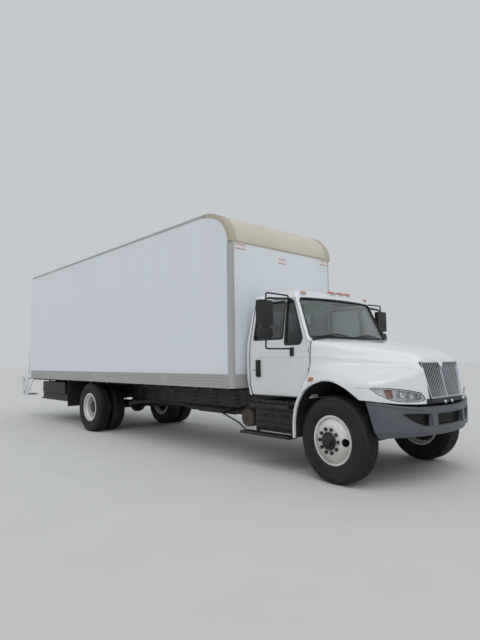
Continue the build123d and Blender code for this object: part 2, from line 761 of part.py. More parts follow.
with BuildPart() as steering_wheel:
    with BuildSketch(Plane(origin=steering_plane.origin, x_dir=(1, 0, 0),
                           z_dir=column_way.cross(Vector(1, 0, 0)))) as rim:
        with Locations((steering_radius, 0)):
            RegularPolygon(15, 8)
    revolve(axis=Axis(steering_plane.origin, column_way))
    with BuildSketch(steering_plane.offset(-30)) as boss:
        Circle(55)
    extrude(amount=40)
    with BuildSketch(steering_plane.offset(-12)) as spokes:
        with PolarLocations(steering_radius / 2, 2, start_angle=0):
            Rectangle(steering_radius, 26)
    extrude(amount=12)
    with BuildSketch(steering_plane.offset(-200)) as column:
        Circle(column_radius)
    extrude(amount=175)
save(steering_wheel.part, "steering_wheel")

# Steps, tank and battery box beside the frame, under the cab
step_box = (980.0, (740.0, 1500.0), (490.0, 920.0))
lower_step = ((975.0, 1130.0), (730.0, 1690.0), (440.0, 475.0))
upper_step = ((975.0, 1120.0), (740.0, 1500.0), (838.0, 878.0))
with BuildPart() as step_units:
    for hand in (1, -1):
        slab(span(hand, frame_half + seat_gap, step_box[0]), *step_box[1:])
        for tread in (lower_step, upper_step):
            slab(span(hand, *tread[0]), *tread[1:])
        for station in (780, 1440):
            slab(span(hand, 960, 990), (station, station + 40), (lower_step[2][0], step_box[2][0] + 40))
save(step_units.part, "step_units")

tank_station = 1890.0
tank_height = 610.0
tank_radius = 135.0
tank_out = 780.0
with BuildPart() as air_tanks:
    for hand in (1, -1):
        cross_tube(span(hand, frame_half + seat_gap, tank_out), tank_station, tank_height, tank_radius)
save(air_tanks.part, "air_tanks")

# Guards: curved shields behind the front wheels, flaps behind the rear ones
flap_station = 7626.0
sill_bottom = 1040.0
arch_points = ((608, 484), (536, 948), (171, 1212), (-70, 1200), (-387, 1021))
with BuildPart() as splash_guards:
    for hand in (1, -1):
        with BuildSketch(side(hand * 640 if hand > 0 else -990)) as shield:
            with BuildLine():
                ThreePointArc((622, 484), (600, 740), (520, 984.7))
                Line((520, 984.7), (532, 984.7))
                ThreePointArc((532, 984.7), (612, 740), (634, 484))
                Line((634, 484), (622, 484))
            make_face()
        extrude(amount=350)
    twin_slab((600, 1200), (flap_station - 6, flap_station + 6), (460, sill_bottom - seat_gap))
save(splash_guards.part, "splash_guards")


# Hood: shell lofted through cross sections, trimmed to the nose's plan and its raked front
# columns: station, crown height, shoulder x, shoulder height, crease x, crease height,
#          bulge x, bulge height, lip x, lip height
hood_rows = (
    (470.0, 1768.0, 930.0, 1735.0, 988.0, 1535.0, 1000.0, 1300.0, 1165.0, 1120.0),
    (150.0, 1740.0, 800.0, 1703.0, 900.0, 1497.0, 1075.0, 1370.0, 1165.0, 1220.0),
    (-200.0, 1690.0, 650.0, 1648.0, 740.0, 1462.0, 1050.0, 1350.0, 1165.0, 1215.0),
    (-520.0, 1635.0, 500.0, 1590.0, 600.0, 1450.0, 960.0, 1290.0, 1165.0, 1165.0),
    (-930.0, 1560.0, 340.0, 1510.0, 430.0, 1430.0, 840.0, 1235.0, 1165.0, 1110.0),
)
hood_bottom = 950.0
# columns: x, height of the hood's lower edge
hood_edge = ((0, 955), (640, 959), (880, 975), (1085, 1001), (1200, 1026))


def hood_section(row, inset):
    """One cross section of the hood, moved inward by the inset."""
    station, crown, shoulder_x, shoulder_z, crease_x, crease_z, bulge_x, bulge_z, lip_x, lip_z = row
    bottom = hood_bottom - (300 if inset else 0)
    low = inset * 0.7
    with BuildSketch(across(station)) as section:
        with BuildLine():
            ThreePointArc((-shoulder_x + low, shoulder_z - inset), (0, crown - inset),
                          (shoulder_x - low, shoulder_z - inset))
            for hand in (1, -1):
                crease = (hand * (crease_x - inset), crease_z - low)
                Line((hand * (shoulder_x - low), shoulder_z - inset), crease)
                ThreePointArc(crease, (hand * (bulge_x - low), bulge_z - low),
                              (hand * (lip_x - inset), lip_z - low))
                Line((hand * (lip_x - inset), lip_z - low), (hand * (lip_x - inset), bottom))
            Line((-lip_x + inset, bottom), (lip_x - inset, bottom))
        make_face()
    return section.sketch


def nose_plan(inset):
    """Prism of the hood's plan: the bumper's sweep set back, and the curved rear edge."""
    back = 22.0 + inset
    with BuildSketch(level(500)) as plan:
        with BuildLine():
            right = [bumper_point(row, back, 1) for row in bumper_plan]
            left = [bumper_point(row, back, -1) for row in bumper_plan]
            ThreePointArc(right[1], right[0], left[1])
            ThreePointArc(left[3], left[2], left[1])
            ThreePointArc(right[3], right[2], right[1])
            Polyline(right[3], (1180 - inset, -430), (1180 - inset, 466), (985, 466))
            Polyline(left[3], (-1180 + inset, -430), (-1180 + inset, 466), (-985, 466))
            ThreePointArc((-985, 466), (0, 380), (985, 466))
        make_face()
    return extrude(plan.sketch, amount=1500, mode=Mode.PRIVATE)


def nose_rake(inset):
    """Prism of the hood's side view, with the raked grille face and the rounded front of the crown."""
    with BuildSketch(side(-1300)) as rake:
        with BuildLine():
            Polyline((-895 + inset, 500), (-893 + inset, 950), (-806 + inset, 1450),
                     (-770 + inset, 1515 - inset / 2), (-640 + inset / 2, 1612 - inset), (-600, 1900),
                     (700, 1900), (700, 500), close=True)
        make_face()
    return extrude(rake.sketch, amount=2600, mode=Mode.PRIVATE)


with BuildPart() as hood_skin:
    loft([hood_section(row, 0) for row in hood_rows], ruled=True)
    add(nose_plan(0), mode=Mode.INTERSECT)
    add(nose_rake(0), mode=Mode.INTERSECT)
    # the lower edge rises to the sides
    with BuildSketch(across(700)) as lower_edge:
        with BuildLine():
            Polyline((-1200, 300), *[(-x, height) for x, height in reversed(hood_edge)], *hood_edge[1:],
                     (1200, 300), close=True)
        make_face()
    extrude(amount=1800, mode=Mode.SUBTRACT)
    with BuildPart(mode=Mode.PRIVATE) as hollow:
        loft([hood_section(row, hood_wall) for row in hood_rows], ruled=True)
        add(nose_plan(hood_wall), mode=Mode.INTERSECT)
        add(nose_rake(hood_wall), mode=Mode.INTERSECT)
        slab((-950, 950), (430, 500), (800, 1700))
    add(hollow.part, mode=Mode.SUBTRACT)

grille_low = 1017.0
grille_high = 1444.0
grille_low_station = -874.0
grille_high_station = -790.0
grille_low_half = 412.0
grille_high_half = 486.0
grille_way = Vector(0, grille_high_station - grille_low_station, grille_high - grille_low)
grille_rise = grille_way.length
grille_plane = Plane(origin=(0, front_axle_y + grille_low_station, grille_low), x_dir=(1, 0, 0),
                     z_dir=Vector(1, 0, 0).cross(grille_way))


def grille_outline(inset):
    """Grille opening: two halves that meet in a notch at the top."""
    with BuildLine() as path:
        Polyline((-grille_low_half + inset, inset), (grille_low_half - inset, inset),
                 (grille_high_half - inset, grille_rise - inset), (60, grille_rise - inset),
                 (0, grille_rise - 80 - inset / 2), (-60, grille_rise - inset),
                 (-grille_high_half + inset, grille_rise - inset), close=True)
    make_face(path.line)


lamp_outline = ((1135, 1163), (930, 1147), (724, 1118), (560, 1085), (492, 1008), (640, 990), (878, 1000),
                (990, 1030), (1085, 1088))


def lamp_face(hand, growth):
    """Teardrop of one headlamp in front view."""
    with BuildSketch(across(-300)) as drop:
        with BuildLine():
            Polyline(*[(hand * x, z) for x, z in lamp_outline], close=True)
        make_face()
    if growth:
        return offset(drop.sketch, amount=growth, mode=Mode.PRIVATE)
    return drop.sketch


def lip_outline(x, gap):
    """Band of a fender's flared lip in side view, grown by a gap."""
    with BuildSketch(side(x)) as band:
        with BuildLine():
            ThreePointArc(arch_points[0], arch_points[1], arch_points[2])
            ThreePointArc(arch_points[2], (60, 1222), arch_points[3])
            ThreePointArc(arch_points[3], (-260, 1120), arch_points[4])
            Line(arch_points[4], (-395, 1045))
            ThreePointArc((-395, 1045), (-265, 1148), (-70, 1228))
            ThreePointArc((-70, 1228), (60, 1250), (180, 1240))
            ThreePointArc((180, 1240), (562, 962), (636, 484))
            Line((636, 484), arch_points[0])
        make_face()
        if gap:
            offset(amount=gap, mode=Mode.REPLACE)
    return band.sketch


with BuildPart() as hood:
    add(hood_skin.part)
    for hand in (1, -1):
        extrude(lamp_face(hand, seat_gap), amount=700, mode=Mode.SUBTRACT)
    with BuildSketch(grille_plane.offset(-60)) as mouth:
        grille_outline(-seat_gap)
    extrude(amount=150, mode=Mode.SUBTRACT)
    # wheel arches
    for start in (640, -1240):
        with BuildSketch(side(start)) as arch:
            with BuildLine():
                Line((608, 300), (608, 484))
                ThreePointArc(arch_points[0], arch_points[1], arch_points[2])
                ThreePointArc(arch_points[2], (60, 1222), arch_points[3])
                ThreePointArc(arch_points[3], (-260, 1120), arch_points[4])
                Polyline(arch_points[4], (-480, 960), (-480, 300), (608, 300))
            make_face()
        extrude(amount=600, mode=Mode.SUBTRACT)
    # flared lips, pieces of their own that run on behind the seam outside the doors
    for hand in (1, -1):
        near = flare_inner - seat_gap
        extrude(lip_outline(hand * near, seat_gap), amount=hand * 200, mode=Mode.SUBTRACT)
        extrude(lip_outline(hand * flare_inner, 0), amount=hand * (flare_outer - flare_inner))
    # ears on the hinge pins, and room for the frame's ears
    for hand in (1, -1):
        slab(span(hand, 361, 385), (-920, -835), (930, 990), mode=Mode.SUBTRACT)
        with BuildSketch(side(hand * 342)) as ear:
            with BuildLine():
                Polyline((hinge_station - ear_radius, hinge_height), (hinge_station - 16, 1004),
                         (hinge_station + 10, 1004), (hinge_station + ear_radius, hinge_height), close=True)
            make_face()
            with Locations((hinge_station, hinge_height)):
                Circle(ear_radius)
        extrude(amount=hand * 18)
        cross_tube(span(hand, 330, 392), hinge_station, hinge_height, hinge_pin_radius + running_fit,
                   Mode.SUBTRACT)
save(hood.part, "hood")

with BuildPart() as headlamps:
    add(hood_skin.part)
    with BuildPart(mode=Mode.PRIVATE) as drops:
        for hand in (1, -1):
            extrude(lamp_face(hand, 0), amount=700)
    add(drops.part, mode=Mode.INTERSECT)
save(headlamps.part, "headlamps")

bar_count = 11
with BuildPart() as grille:
    with BuildSketch(grille_plane.offset(-30)) as surround:
        grille_outline(0)
    extrude(amount=40)
    with BuildSketch(grille_plane.offset(-40)) as field:
        grille_outline(26)
    extrude(amount=60, mode=Mode.SUBTRACT)
    with BuildPart(mode=Mode.PRIVATE) as bars:
        for hand in (1, -1):
            for step in range(1, bar_count + 1):
                low_x = hand * (grille_low_half - 20) * step / (bar_count + 1)
                high_x = hand * (grille_high_half - 20) * step / (bar_count + 1)
                with BuildSketch(grille_plane.offset(-25)) as bar:
                    with BuildLine():
                        Polyline((low_x - 8, 5), (low_x + 8, 5), (high_x + 8, grille_rise),
                                 (high_x - 8, grille_rise), close=True)
                    make_face()
                extrude(amount=28)
        with BuildSketch(grille_plane.offset(-40)) as limit:
            grille_outline(10)
        extrude(amount=60, mode=Mode.INTERSECT)
    add(bars.part)
    with BuildSketch(grille_plane.offset(-25)) as rib:
        with Locations((0, (grille_rise - 90) / 2)):
            Rectangle(26, grille_rise - 110)
    extrude(amount=36)
save(grille.part, "grille")

with BuildPart() as wheel_liners:
    for hand in (1, -1):
        with BuildSketch(side(hand * (flare_inner - seat_gap))) as liner:
            with BuildLine():
                ThreePointArc((430, 1100), (300, 1190), (150, 1224))
                Line((150, 1224), (-70, 1212))
                ThreePointArc((-70, 1212), (-240, 1150), (-400, 1030))
                Line((-400, 1030), (-408, 1039))
                ThreePointArc((-408, 1039), (-245, 1161), (-70, 1224))
                Line((-70, 1224), (150, 1236))
                ThreePointArc((150, 1236), (304, 1201), (438, 1110))
                Line((438, 1110), (430, 1100))
            make_face()
        extrude(amount=-hand * 340)
save(wheel_liners.part, "wheel_liners")

# Box floor: long sills on the frame, cross sills and the deck
cross_sill_count = 22
first_sill = box_front + 120
flap_sill = 15
sill_pitch = (flap_station - first_sill) / flap_sill
rail_half = 15.0
rail_x = box_half - 10
deck_half = rail_x - rail_half - seat_gap
post_radius = 78.0
deck_bottom = 1130.0
with BuildPart() as box_floor:
    twin_slab((frame_half - 70, frame_half), (box_front + 60, box_rear - 120),
              (frame_top + seat_gap, sill_bottom - seat_gap))
    for number in range(cross_sill_count):
        middle = first_sill + number * sill_pitch
        slab((-deck_half, deck_half), (middle - 22, middle + 22), (sill_bottom, deck_bottom - seat_gap))
    slab((-deck_half, deck_half), (box_front + post_radius + seat_gap, box_rear - 100 - seat_gap),
         (deck_bottom, deck_top))
    slab((-box_half + post_radius, box_half - post_radius), (box_front + box_wall + seat_gap, box_front + 90),
         (deck_bottom, deck_top))
save(box_floor.part, "box_floor")

rail_top = box_bottom + rail_height
panel_end = box_rear - 100 - seat_gap
front_half = box_half - post_radius - seat_gap
nose_base = box_top - nose_height
nose_edge = 75.0
top_rail = 45.0
with BuildPart() as box_side_walls:
    twin_slab((box_half - box_wall, box_half), (box_front + post_radius + seat_gap, panel_end),
              (rail_top + seat_gap, box_top - top_rail - seat_gap))
    # the panels are trimmed inside the nose's cast corners
    for start in (1150, -1250):
        with BuildSketch(side(start)) as corner:
            with BuildLine():
                EllipticalCenterArc((box_front + nose_depth, nose_base), nose_depth - nose_edge - seat_gap,
                                    nose_height - nose_edge - seat_gap, 90, arc_size=90)
                Polyline((box_front + nose_depth, box_top - nose_edge - seat_gap),
                         (box_front + nose_depth, box_top + 100), (box_front - 100, box_top + 100),
                         (box_front - 100, nose_base), (box_front + nose_edge + seat_gap, nose_base))
            make_face()
        extrude(amount=100, mode=Mode.SUBTRACT)
save(box_side_walls.part, "box_side_walls")

with BuildPart() as box_rails:
    # ribbed lower rails
    with BuildSketch(across(box_rear - 100 - seat_gap)) as extrusion:
        for hand in (1, -1):
            with Locations((hand * rail_x, box_bottom + rail_height / 2)):
                Rectangle(2 * rail_half, rail_height)
            for groove in range(3):
                with Locations((hand * (box_half + 5), box_bottom + 55 + groove * 50)):
                    Rectangle(8, 14, mode=Mode.SUBTRACT)
    extrude(amount=box_rear - 100 - box_front - post_radius - seat_gap)
    # rounded corner posts
    for hand in (1, -1):
        with BuildSketch(level(box_bottom)) as post:
            with BuildLine():
                inner = hand * (box_half - post_radius)
                outer = hand * box_half
                bend = hand * (box_half - post_radius * 0.293)
                ThreePointArc((outer, box_front + post_radius), (bend, box_front + post_radius * 0.293),
                              (inner, box_front))
                Polyline((inner, box_front), (inner, box_front + box_wall),
                         (outer - hand * box_wall, box_front + post_radius), (outer, box_front + post_radius))
            make_face()
        extrude(amount=nose_base - box_bottom - seat_gap)
    # lower rail of the front wall
    slab((-front_half, front_half), (box_front, box_front + box_wall), (box_bottom, rail_top))
    # thin top rails
    twin_slab((box_half - box_wall, box_half + 3), (box_front + nose_depth + seat_gap, panel_end),
              (box_top - top_rail, box_top))
save(box_rails.part, "box_rails")

with BuildPart() as box_front_wall:
    slab((-front_half, front_half), (box_front, box_front + box_wall),
         (rail_top + seat_gap, nose_base - seat_gap))
save(box_front_wall.part, "box_front_wall")


def nose_form(inset):
    """Nose cap outline in side view, a quarter of an ellipse over the front wall."""
    with BuildLine() as path:
        EllipticalCenterArc((box_front + nose_depth, nose_base), nose_depth - inset, nose_height - inset, 90,
                            arc_size=90)
        Polyline((box_front + inset, nose_base), (box_front + nose_depth, nose_base),
                 (box_front + nose_depth, nose_base + nose_height - inset))
    make_face(path.line)


with BuildPart() as box_nose_cap:
    with BuildSketch(side(-box_half)) as outer_nose:
        nose_form(0)
    extrude(amount=2 * box_half)
    with BuildSketch(side(-box_half + box_wall)) as inner_nose:
        nose_form(box_wall)
    extrude(amount=2 * (box_half - box_wall), mode=Mode.SUBTRACT)
    # the flanks stop at a narrow cast corner, where the side panels begin
    for start in (-box_half - 10, box_half - box_wall - 10):
        with BuildSketch(side(start)) as flank:
            nose_form(nose_edge)
        extrude(amount=box_wall + 20, mode=Mode.SUBTRACT)
save(box_nose_cap.part, "box_nose_cap")

roof_bows = 12
roof_bow_pitch = 620.0
with BuildPart() as box_roof:
    roof_half = box_half - box_wall - seat_gap
    slab((-roof_half, roof_half), (box_front + nose_depth + seat_gap, panel_end),
         (box_top - 28, box_top - 4))
    for number in range(roof_bows):
        middle = box_front + nose_depth + 200 + number * roof_bow_pitch
        slab((-roof_half, roof_half), (middle - 20, middle + 20), (box_top - 66, box_top - 28 - seat_gap))
save(box_roof.part, "box_roof")

# Rear frame and roll-up door
door_half = 1115.0
door_low = 1200.0
door_high = 3640.0
plate_x = 1195.0
plate_thickness = 12.0
plate_front = 10290.0
plate_low = 590.0
plate_high = 1115.0
# lamp holes of a side plate: station, upper and lower height
plate_lamps = (10575.0, 1035.0, 677.0)
brace_front = 9860.0
grab_x = 1195.0
grab_heights = (1085.0, 1780.0)
with BuildPart() as rear_frame:
    slab((-box_half - 3, box_half + 3), (box_rear - 100, box_rear), (box_bottom, box_top))
    slab((-door_half, door_half), (box_rear - 150, box_rear + 50), (door_low, door_high), mode=Mode.SUBTRACT)
    for hand in (1, -1):
        # side plate with lamp holes, hung on a bar and a brace, and the steps that it carries
        with BuildSketch(side(hand * plate_x)) as plate:
            with BuildLine():
                Polyline((plate_front, plate_low), (rear_reach, plate_low), (rear_reach, plate_high),
                         (plate_front, plate_high), close=True)
            make_face()
            with Locations((plate_lamps[0], plate_lamps[1]), (plate_lamps[0], plate_lamps[2])):
                Rectangle(80, 80, mode=Mode.SUBTRACT)
            with BuildLine():
                Polyline((brace_front, box_bottom - seat_gap), (brace_front + 70, box_bottom - seat_gap),
                         (plate_front + 50, plate_low + 45), (plate_front, plate_low), close=True)
            make_face()
        extrude(amount=hand * plate_thickness)
        slab(span(hand, plate_x - 50, plate_x + plate_thickness), (box_rear - 10, rear_reach - 10),
             (box_bottom + 5, plate_high))
        for low in (plate_low + 10, box_bottom - 30):
            slab(span(hand, 900, plate_x + plate_thickness / 2), (plate_front + 90, rear_reach - 20),
                 (low, low + 30))
        # grab bar behind the corner
        slab(span(hand, grab_x, grab_x + 20), (box_rear + 100, box_rear + 122), grab_heights)
        for height in grab_heights[0], grab_heights[1] - 20:
            slab(span(hand, grab_x, grab_x + 20), (box_rear - 10, box_rear + 110), (height, height + 20))
save(rear_frame.part, "rear_frame")

panel_count = 8
panel_rise = (door_high - door_low) / panel_count
with BuildPart() as roll_up_door:
    for number in range(panel_count):
        low = door_low + number * panel_rise
        slab((-door_half + 6, door_half - 6), (box_rear - 70, box_rear - 45), (low + 3, low + panel_rise - 3))
    slab((-door_half + 6, door_half - 6), (box_rear - 60, box_rear - 50),
         (door_low + seat_gap, door_high - seat_gap))
    twin_slab((door_half - 20, door_half - seat_gap), (box_rear - 75, box_rear - 65),
              (door_low + 60, door_high - 60))
    slab((-90, 90), (box_rear - 46, box_rear - 20), (1300, 1380))
save(roll_up_door.part, "roll_up_door")

# Tail lift: arms and folded platform stowed under the box
arm_x = 595.0
arm_thickness = 50.0
with BuildPart() as lift_arms:
    for hand in (1, -1):
        with BuildSketch(side(hand * arm_x)) as arm:
            with BuildLine():
                Polyline((lift_pivot[0], lift_pivot[1] + 40), (platform_pin[0], platform_pin[1] + 35),
                         (platform_pin[0], platform_pin[1] - 35), (lift_pivot[0], lift_pivot[1] - 40),
                         close=True)
            make_face()
            with Locations(lift_pivot):
                Circle(40)
            with Locations(platform_pin):
                Circle(35)
            with Locations(lift_pivot):
                Circle(lift_pin_radius + running_fit, mode=Mode.SUBTRACT)
            with Locations(platform_pin):
                Circle(15 + running_fit, mode=Mode.SUBTRACT)
        extrude(amount=hand * arm_thickness)
save(lift_arms.part, "lift_arms")

platform_half = 1000.0
platform_low = 535.0
plate_top = 565.0
leaf_top = 590.0
lug_front = platform_pin[0] - 150
lug_thickness = 22.0
lug_inner = arm_x - 30
lug_outer = arm_x + arm_thickness + 10 + lug_thickness
with BuildPart() as lift_platform:
    slab((-platform_half, platform_half), (8060, 9800), (platform_low, plate_top))
    slab((-platform_half, platform_half), (8120, 9680), (plate_top + seat_gap, leaf_top))
    # boxed edges of the folded leaf, outside the arms
    twin_slab((700, platform_half), (8120, 9680), (leaf_top + seat_gap, 700))
    for hand in (1, -1):
        # lugs in a notch of the plate, one on each side of the arm, with the pin through them
        slab(span(hand, lug_inner - seat_gap, lug_outer + seat_gap), (lug_front - seat_gap, 9900),
             (platform_low - 10, plate_top + seat_gap / 2), mode=Mode.SUBTRACT)
        for start in (lug_inner, lug_outer - lug_thickness):
            with BuildSketch(side(hand * start)) as lug:
                with BuildLine():
                    Polyline((lug_front, platform_low), (platform_pin[0] - 20, platform_low),
                             (platform_pin[0] + 25, 640), (platform_pin[0] - 25, 640),
                             (lug_front, plate_top), close=True)
                make_face()
                with Locations(platform_pin):
                    Circle(25)
            extrude(amount=hand * lug_thickness)
        cross_tube(span(hand, lug_inner, lug_outer), platform_pin[0], platform_pin[1], 15)
save(lift_platform.part, "lift_platform")

# Marker lamps on the roof's brow
# columns: x, station, height
roof_lamps = ((0, 660, 2443), (185, 664, 2443), (-185, 664, 2443), (750, 740, 2410), (-750, 740, 2410))
# side outline of one lamp, by distance behind and above its place
lamp_profile = ((-30, -24), (-24, 4), (-4, 18), (40, 20), (80, 4), (80, -24))
lamp_half = 48.0
with BuildPart() as marker_lamps:
    for x, station, height in roof_lamps:
        with BuildSketch(side(x - lamp_half)) as lamp:
            with BuildLine():
                Polyline(*[(station + back, height + up) for back, up in lamp_profile], close=True)
            make_face()
        extrude(amount=2 * lamp_half)
    add(cab_form(cab_rows, -seat_gap), mode=Mode.SUBTRACT)
save(marker_lamps.part, "marker_lamps")
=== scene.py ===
"""Looks of the box truck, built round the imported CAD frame."""

from __future__ import annotations

import json
import logging
import math
from dataclasses import dataclass, field
from enum import Enum
from functools import cache
from typing import Any, Callable, Sequence

import bmesh
import bpy
import numpy as np
from mathutils import Matrix, Vector

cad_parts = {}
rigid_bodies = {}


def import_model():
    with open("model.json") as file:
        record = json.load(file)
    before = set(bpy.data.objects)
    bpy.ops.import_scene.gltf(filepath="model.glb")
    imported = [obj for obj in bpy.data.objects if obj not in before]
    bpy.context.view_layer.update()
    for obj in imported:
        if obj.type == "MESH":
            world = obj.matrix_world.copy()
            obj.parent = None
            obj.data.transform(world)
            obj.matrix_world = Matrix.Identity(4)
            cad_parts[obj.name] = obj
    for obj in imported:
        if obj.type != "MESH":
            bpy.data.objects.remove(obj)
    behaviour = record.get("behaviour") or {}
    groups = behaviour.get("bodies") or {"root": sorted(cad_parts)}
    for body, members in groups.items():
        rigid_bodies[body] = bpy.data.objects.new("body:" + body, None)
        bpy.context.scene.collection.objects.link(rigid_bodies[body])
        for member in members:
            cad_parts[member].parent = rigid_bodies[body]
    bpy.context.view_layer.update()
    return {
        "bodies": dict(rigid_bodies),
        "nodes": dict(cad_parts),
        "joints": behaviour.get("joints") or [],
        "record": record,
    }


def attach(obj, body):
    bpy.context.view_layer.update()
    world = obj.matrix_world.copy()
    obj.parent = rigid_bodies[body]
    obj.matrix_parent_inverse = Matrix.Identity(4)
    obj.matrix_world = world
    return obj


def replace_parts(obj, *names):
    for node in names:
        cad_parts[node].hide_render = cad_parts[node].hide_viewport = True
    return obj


LOG = logging.getLogger("box_truck")

Pair = tuple[float, float]
Point = tuple[float, float, float]
Colour = tuple[float, float, float]
Line = tuple[Pair, ...]
Surface = Callable[[Vector, float], Vector]
Object = bpy.types.Object

# The CAD's stations are measured behind the front axle; this is the axle's y in the row frame.
FRONT_AXLE_Y = -4.9025

# Turns of a first axis, in radians: to the front and to the rear of the truck.
TO_FRONT, TO_REAR = -math.pi / 2, math.pi / 2


class Side(Enum):
    """The truck's sides, by the sign of their x."""

    RIGHT = -1
    LEFT = 1

    def __str__(self) -> str:
        """Ending of the names of a side's pieces and bodies."""
        return self.name.lower()


def at(x: float, station: float, height: float) -> Vector:
    """Point in metres from the CAD's millimetre sizes: x, station behind the front axle, height."""
    return Vector((x / 1000.0, FRONT_AXLE_Y + station / 1000.0, height / 1000.0))


def linear(code: str) -> Colour:
    """Linear colour of a display colour such as "#e9ecee"."""
    parts = [int(code[i:i + 2], 16) / 255.0 for i in (1, 3, 5)]
    return tuple(c / 12.92 if c <= 0.04045 else ((c + 0.055) / 1.055) ** 2.4 for c in parts)


def add_node(tree: bpy.types.NodeTree, kind: str, settings: dict[str, Any], inputs: dict[Any, Any]) -> bpy.types.Node:
    """Adds one node to a tree.

    Args:
        tree: the tree.
        kind: the node's type.
        settings: its properties, set first.
        inputs: values or sockets by the input's name or number.

    Returns:
        The node.
    """
    made = tree.nodes.new(kind)
    for key, value in settings.items():
        setattr(made, key, value)
    for key, value in inputs.items():
        if isinstance(value, bpy.types.NodeSocket):
            tree.links.new(value, made.inputs[key])
        else:
            made.inputs[key].default_value = value
    return made


class Signal:
    """A number that runs through a material's nodes, with the arithmetic that the finishes use."""

    def __init__(self, shader: Shader, socket: bpy.types.NodeSocket) -> None:
        """Wraps the output socket of one of a material's nodes."""
        self.shader, self.socket = shader, socket

    def _maths(self, operation: str, *values: Any) -> Signal:
        """One Math node over these values."""
        return self.shader.node("Math", {"operation": operation}, dict(enumerate(values)))

    def __add__(self, other: Any) -> Signal:
        """Sum."""
        return self._maths("ADD", self, other)

    __radd__ = __add__

    def __mul__(self, other: Any) -> Signal:
        """Product."""
        return self._maths("MULTIPLY", self, other)

    __rmul__ = __mul__

    def wave(self) -> Signal:
        """Sine."""
        return self._maths("SINE", self)

    def ease(self, low: float, high: float) -> Signal:
        """0 below low, 1 above high, smooth between; low may be the larger."""
        ends = (low, high, 0.0, 1.0) if low <= high else (high, low, 1.0, 0.0)
        return self.shader.node("MapRange", {"interpolation_type": "SMOOTHSTEP", "clamp": True},
                                {0: self, **dict(enumerate(ends, 1))})


class Shader:
    """One material under construction."""

    def __init__(self, name: str) -> None:
        """Starts an empty material."""
        self.material = bpy.data.materials.new(name)
        self.material.use_nodes = True
        self.tree = self.material.node_tree
        self.tree.nodes.clear()
        self.place = self.node("TexCoord", {}, {}, "Object")

    def node(self, kind: str, settings: dict[str, Any], inputs: dict[Any, Any], output: Any = 0) -> Signal:
        """Adds one node and gives one of its outputs, by its name or number."""
        sockets = {key: value.socket if isinstance(value, Signal) else value for key, value in inputs.items()}
        return Signal(self, add_node(self.tree, f"ShaderNode{kind}", settings, sockets).outputs[output])

    def noise(self, scale: float, detail: float = 4.0, rough: float = 0.55, place: Signal | None = None) -> Signal:
        """Noise between 0 and 1 over the object's coordinates."""
        return self.node("TexNoise", {}, {"Vector": place or self.place, "Scale": scale,
                                                    "Detail": detail, "Roughness": rough})

    def stretched(self, x: float, y: float, z: float) -> Signal:
        """Object coordinates scaled along each axis."""
        return self.node("Mapping", {}, {"Vector": self.place, "Scale": (x, y, z)})

    def axis(self, letter: str) -> Signal:
        """One object coordinate, in metres."""
        return self.node("SeparateXYZ", {}, {0: self.place}, letter)

    def facing(self, letter: str) -> Signal:
        """One part of the surface's normal."""
        normal = self.node("NewGeometry", {}, {}, "Normal")
        return self.node("SeparateXYZ", {}, {0: normal}, letter)

    def turned_in(self, middle: Point) -> Signal:
        """Finds the faces that look at a middle point.

        Args:
            middle: the point, in metres.

        Returns:
            1 where a surface faces the point, 0 where it faces away from it.
        """
        away = self.node("VectorMath", {"operation": "SUBTRACT"}, {0: self.place, 1: middle})
        normal = self.node("NewGeometry", {}, {}, "Normal")
        along = self.node("VectorMath", {"operation": "DOT_PRODUCT"}, {0: away, 1: normal}, "Value")
        return along.ease(-0.1, -0.2)

    def mix(self, factor: Any, first: Any, second: Any) -> Signal:
        """Colour between two colours."""
        colours = [(*c, 1.0) if isinstance(c, tuple) else c for c in (first, second)]
        return self.node("Mix", {"data_type": "RGBA"}, {0: factor, 6: colours[0], 7: colours[1]}, 2)

    def bump(self, height: Signal, strength: float, distance: float) -> Signal:
        """Normal from a height, in metres of distance."""
        return self.node("Bump", {}, {"Height": height, "Strength": strength, "Distance": distance}, "Normal")

    def finish(self, colour: Any, roughness: Any, metallic: float = 0.0, normal: Signal | None = None,
               **extra: Any) -> bpy.types.Material:
        """Ends the material in a Principled shader.

        Args:
            colour: a linear colour or a signal.
            roughness: a number or a signal.
            metallic: 0 or 1 for the whole surface.
            normal: bumped normal, where there is one.
            extra: other inputs by name, with _ for a space.

        Returns:
            The finished material.
        """
        inputs: dict[Any, Any] = {"Base Color": (*colour, 1.0) if isinstance(colour, tuple) else colour,
                                  "Roughness": roughness, "Metallic": metallic}
        if normal is not None:
            inputs["Normal"] = normal
        for key, value in extra.items():
            inputs[key.replace("_", " ")] = value
        surface = self.node("BsdfPrincipled", {}, inputs)
        output = self.tree.nodes.new("ShaderNodeOutputMaterial")
        self.tree.links.new(surface.socket, output.inputs["Surface"])
        return self.material


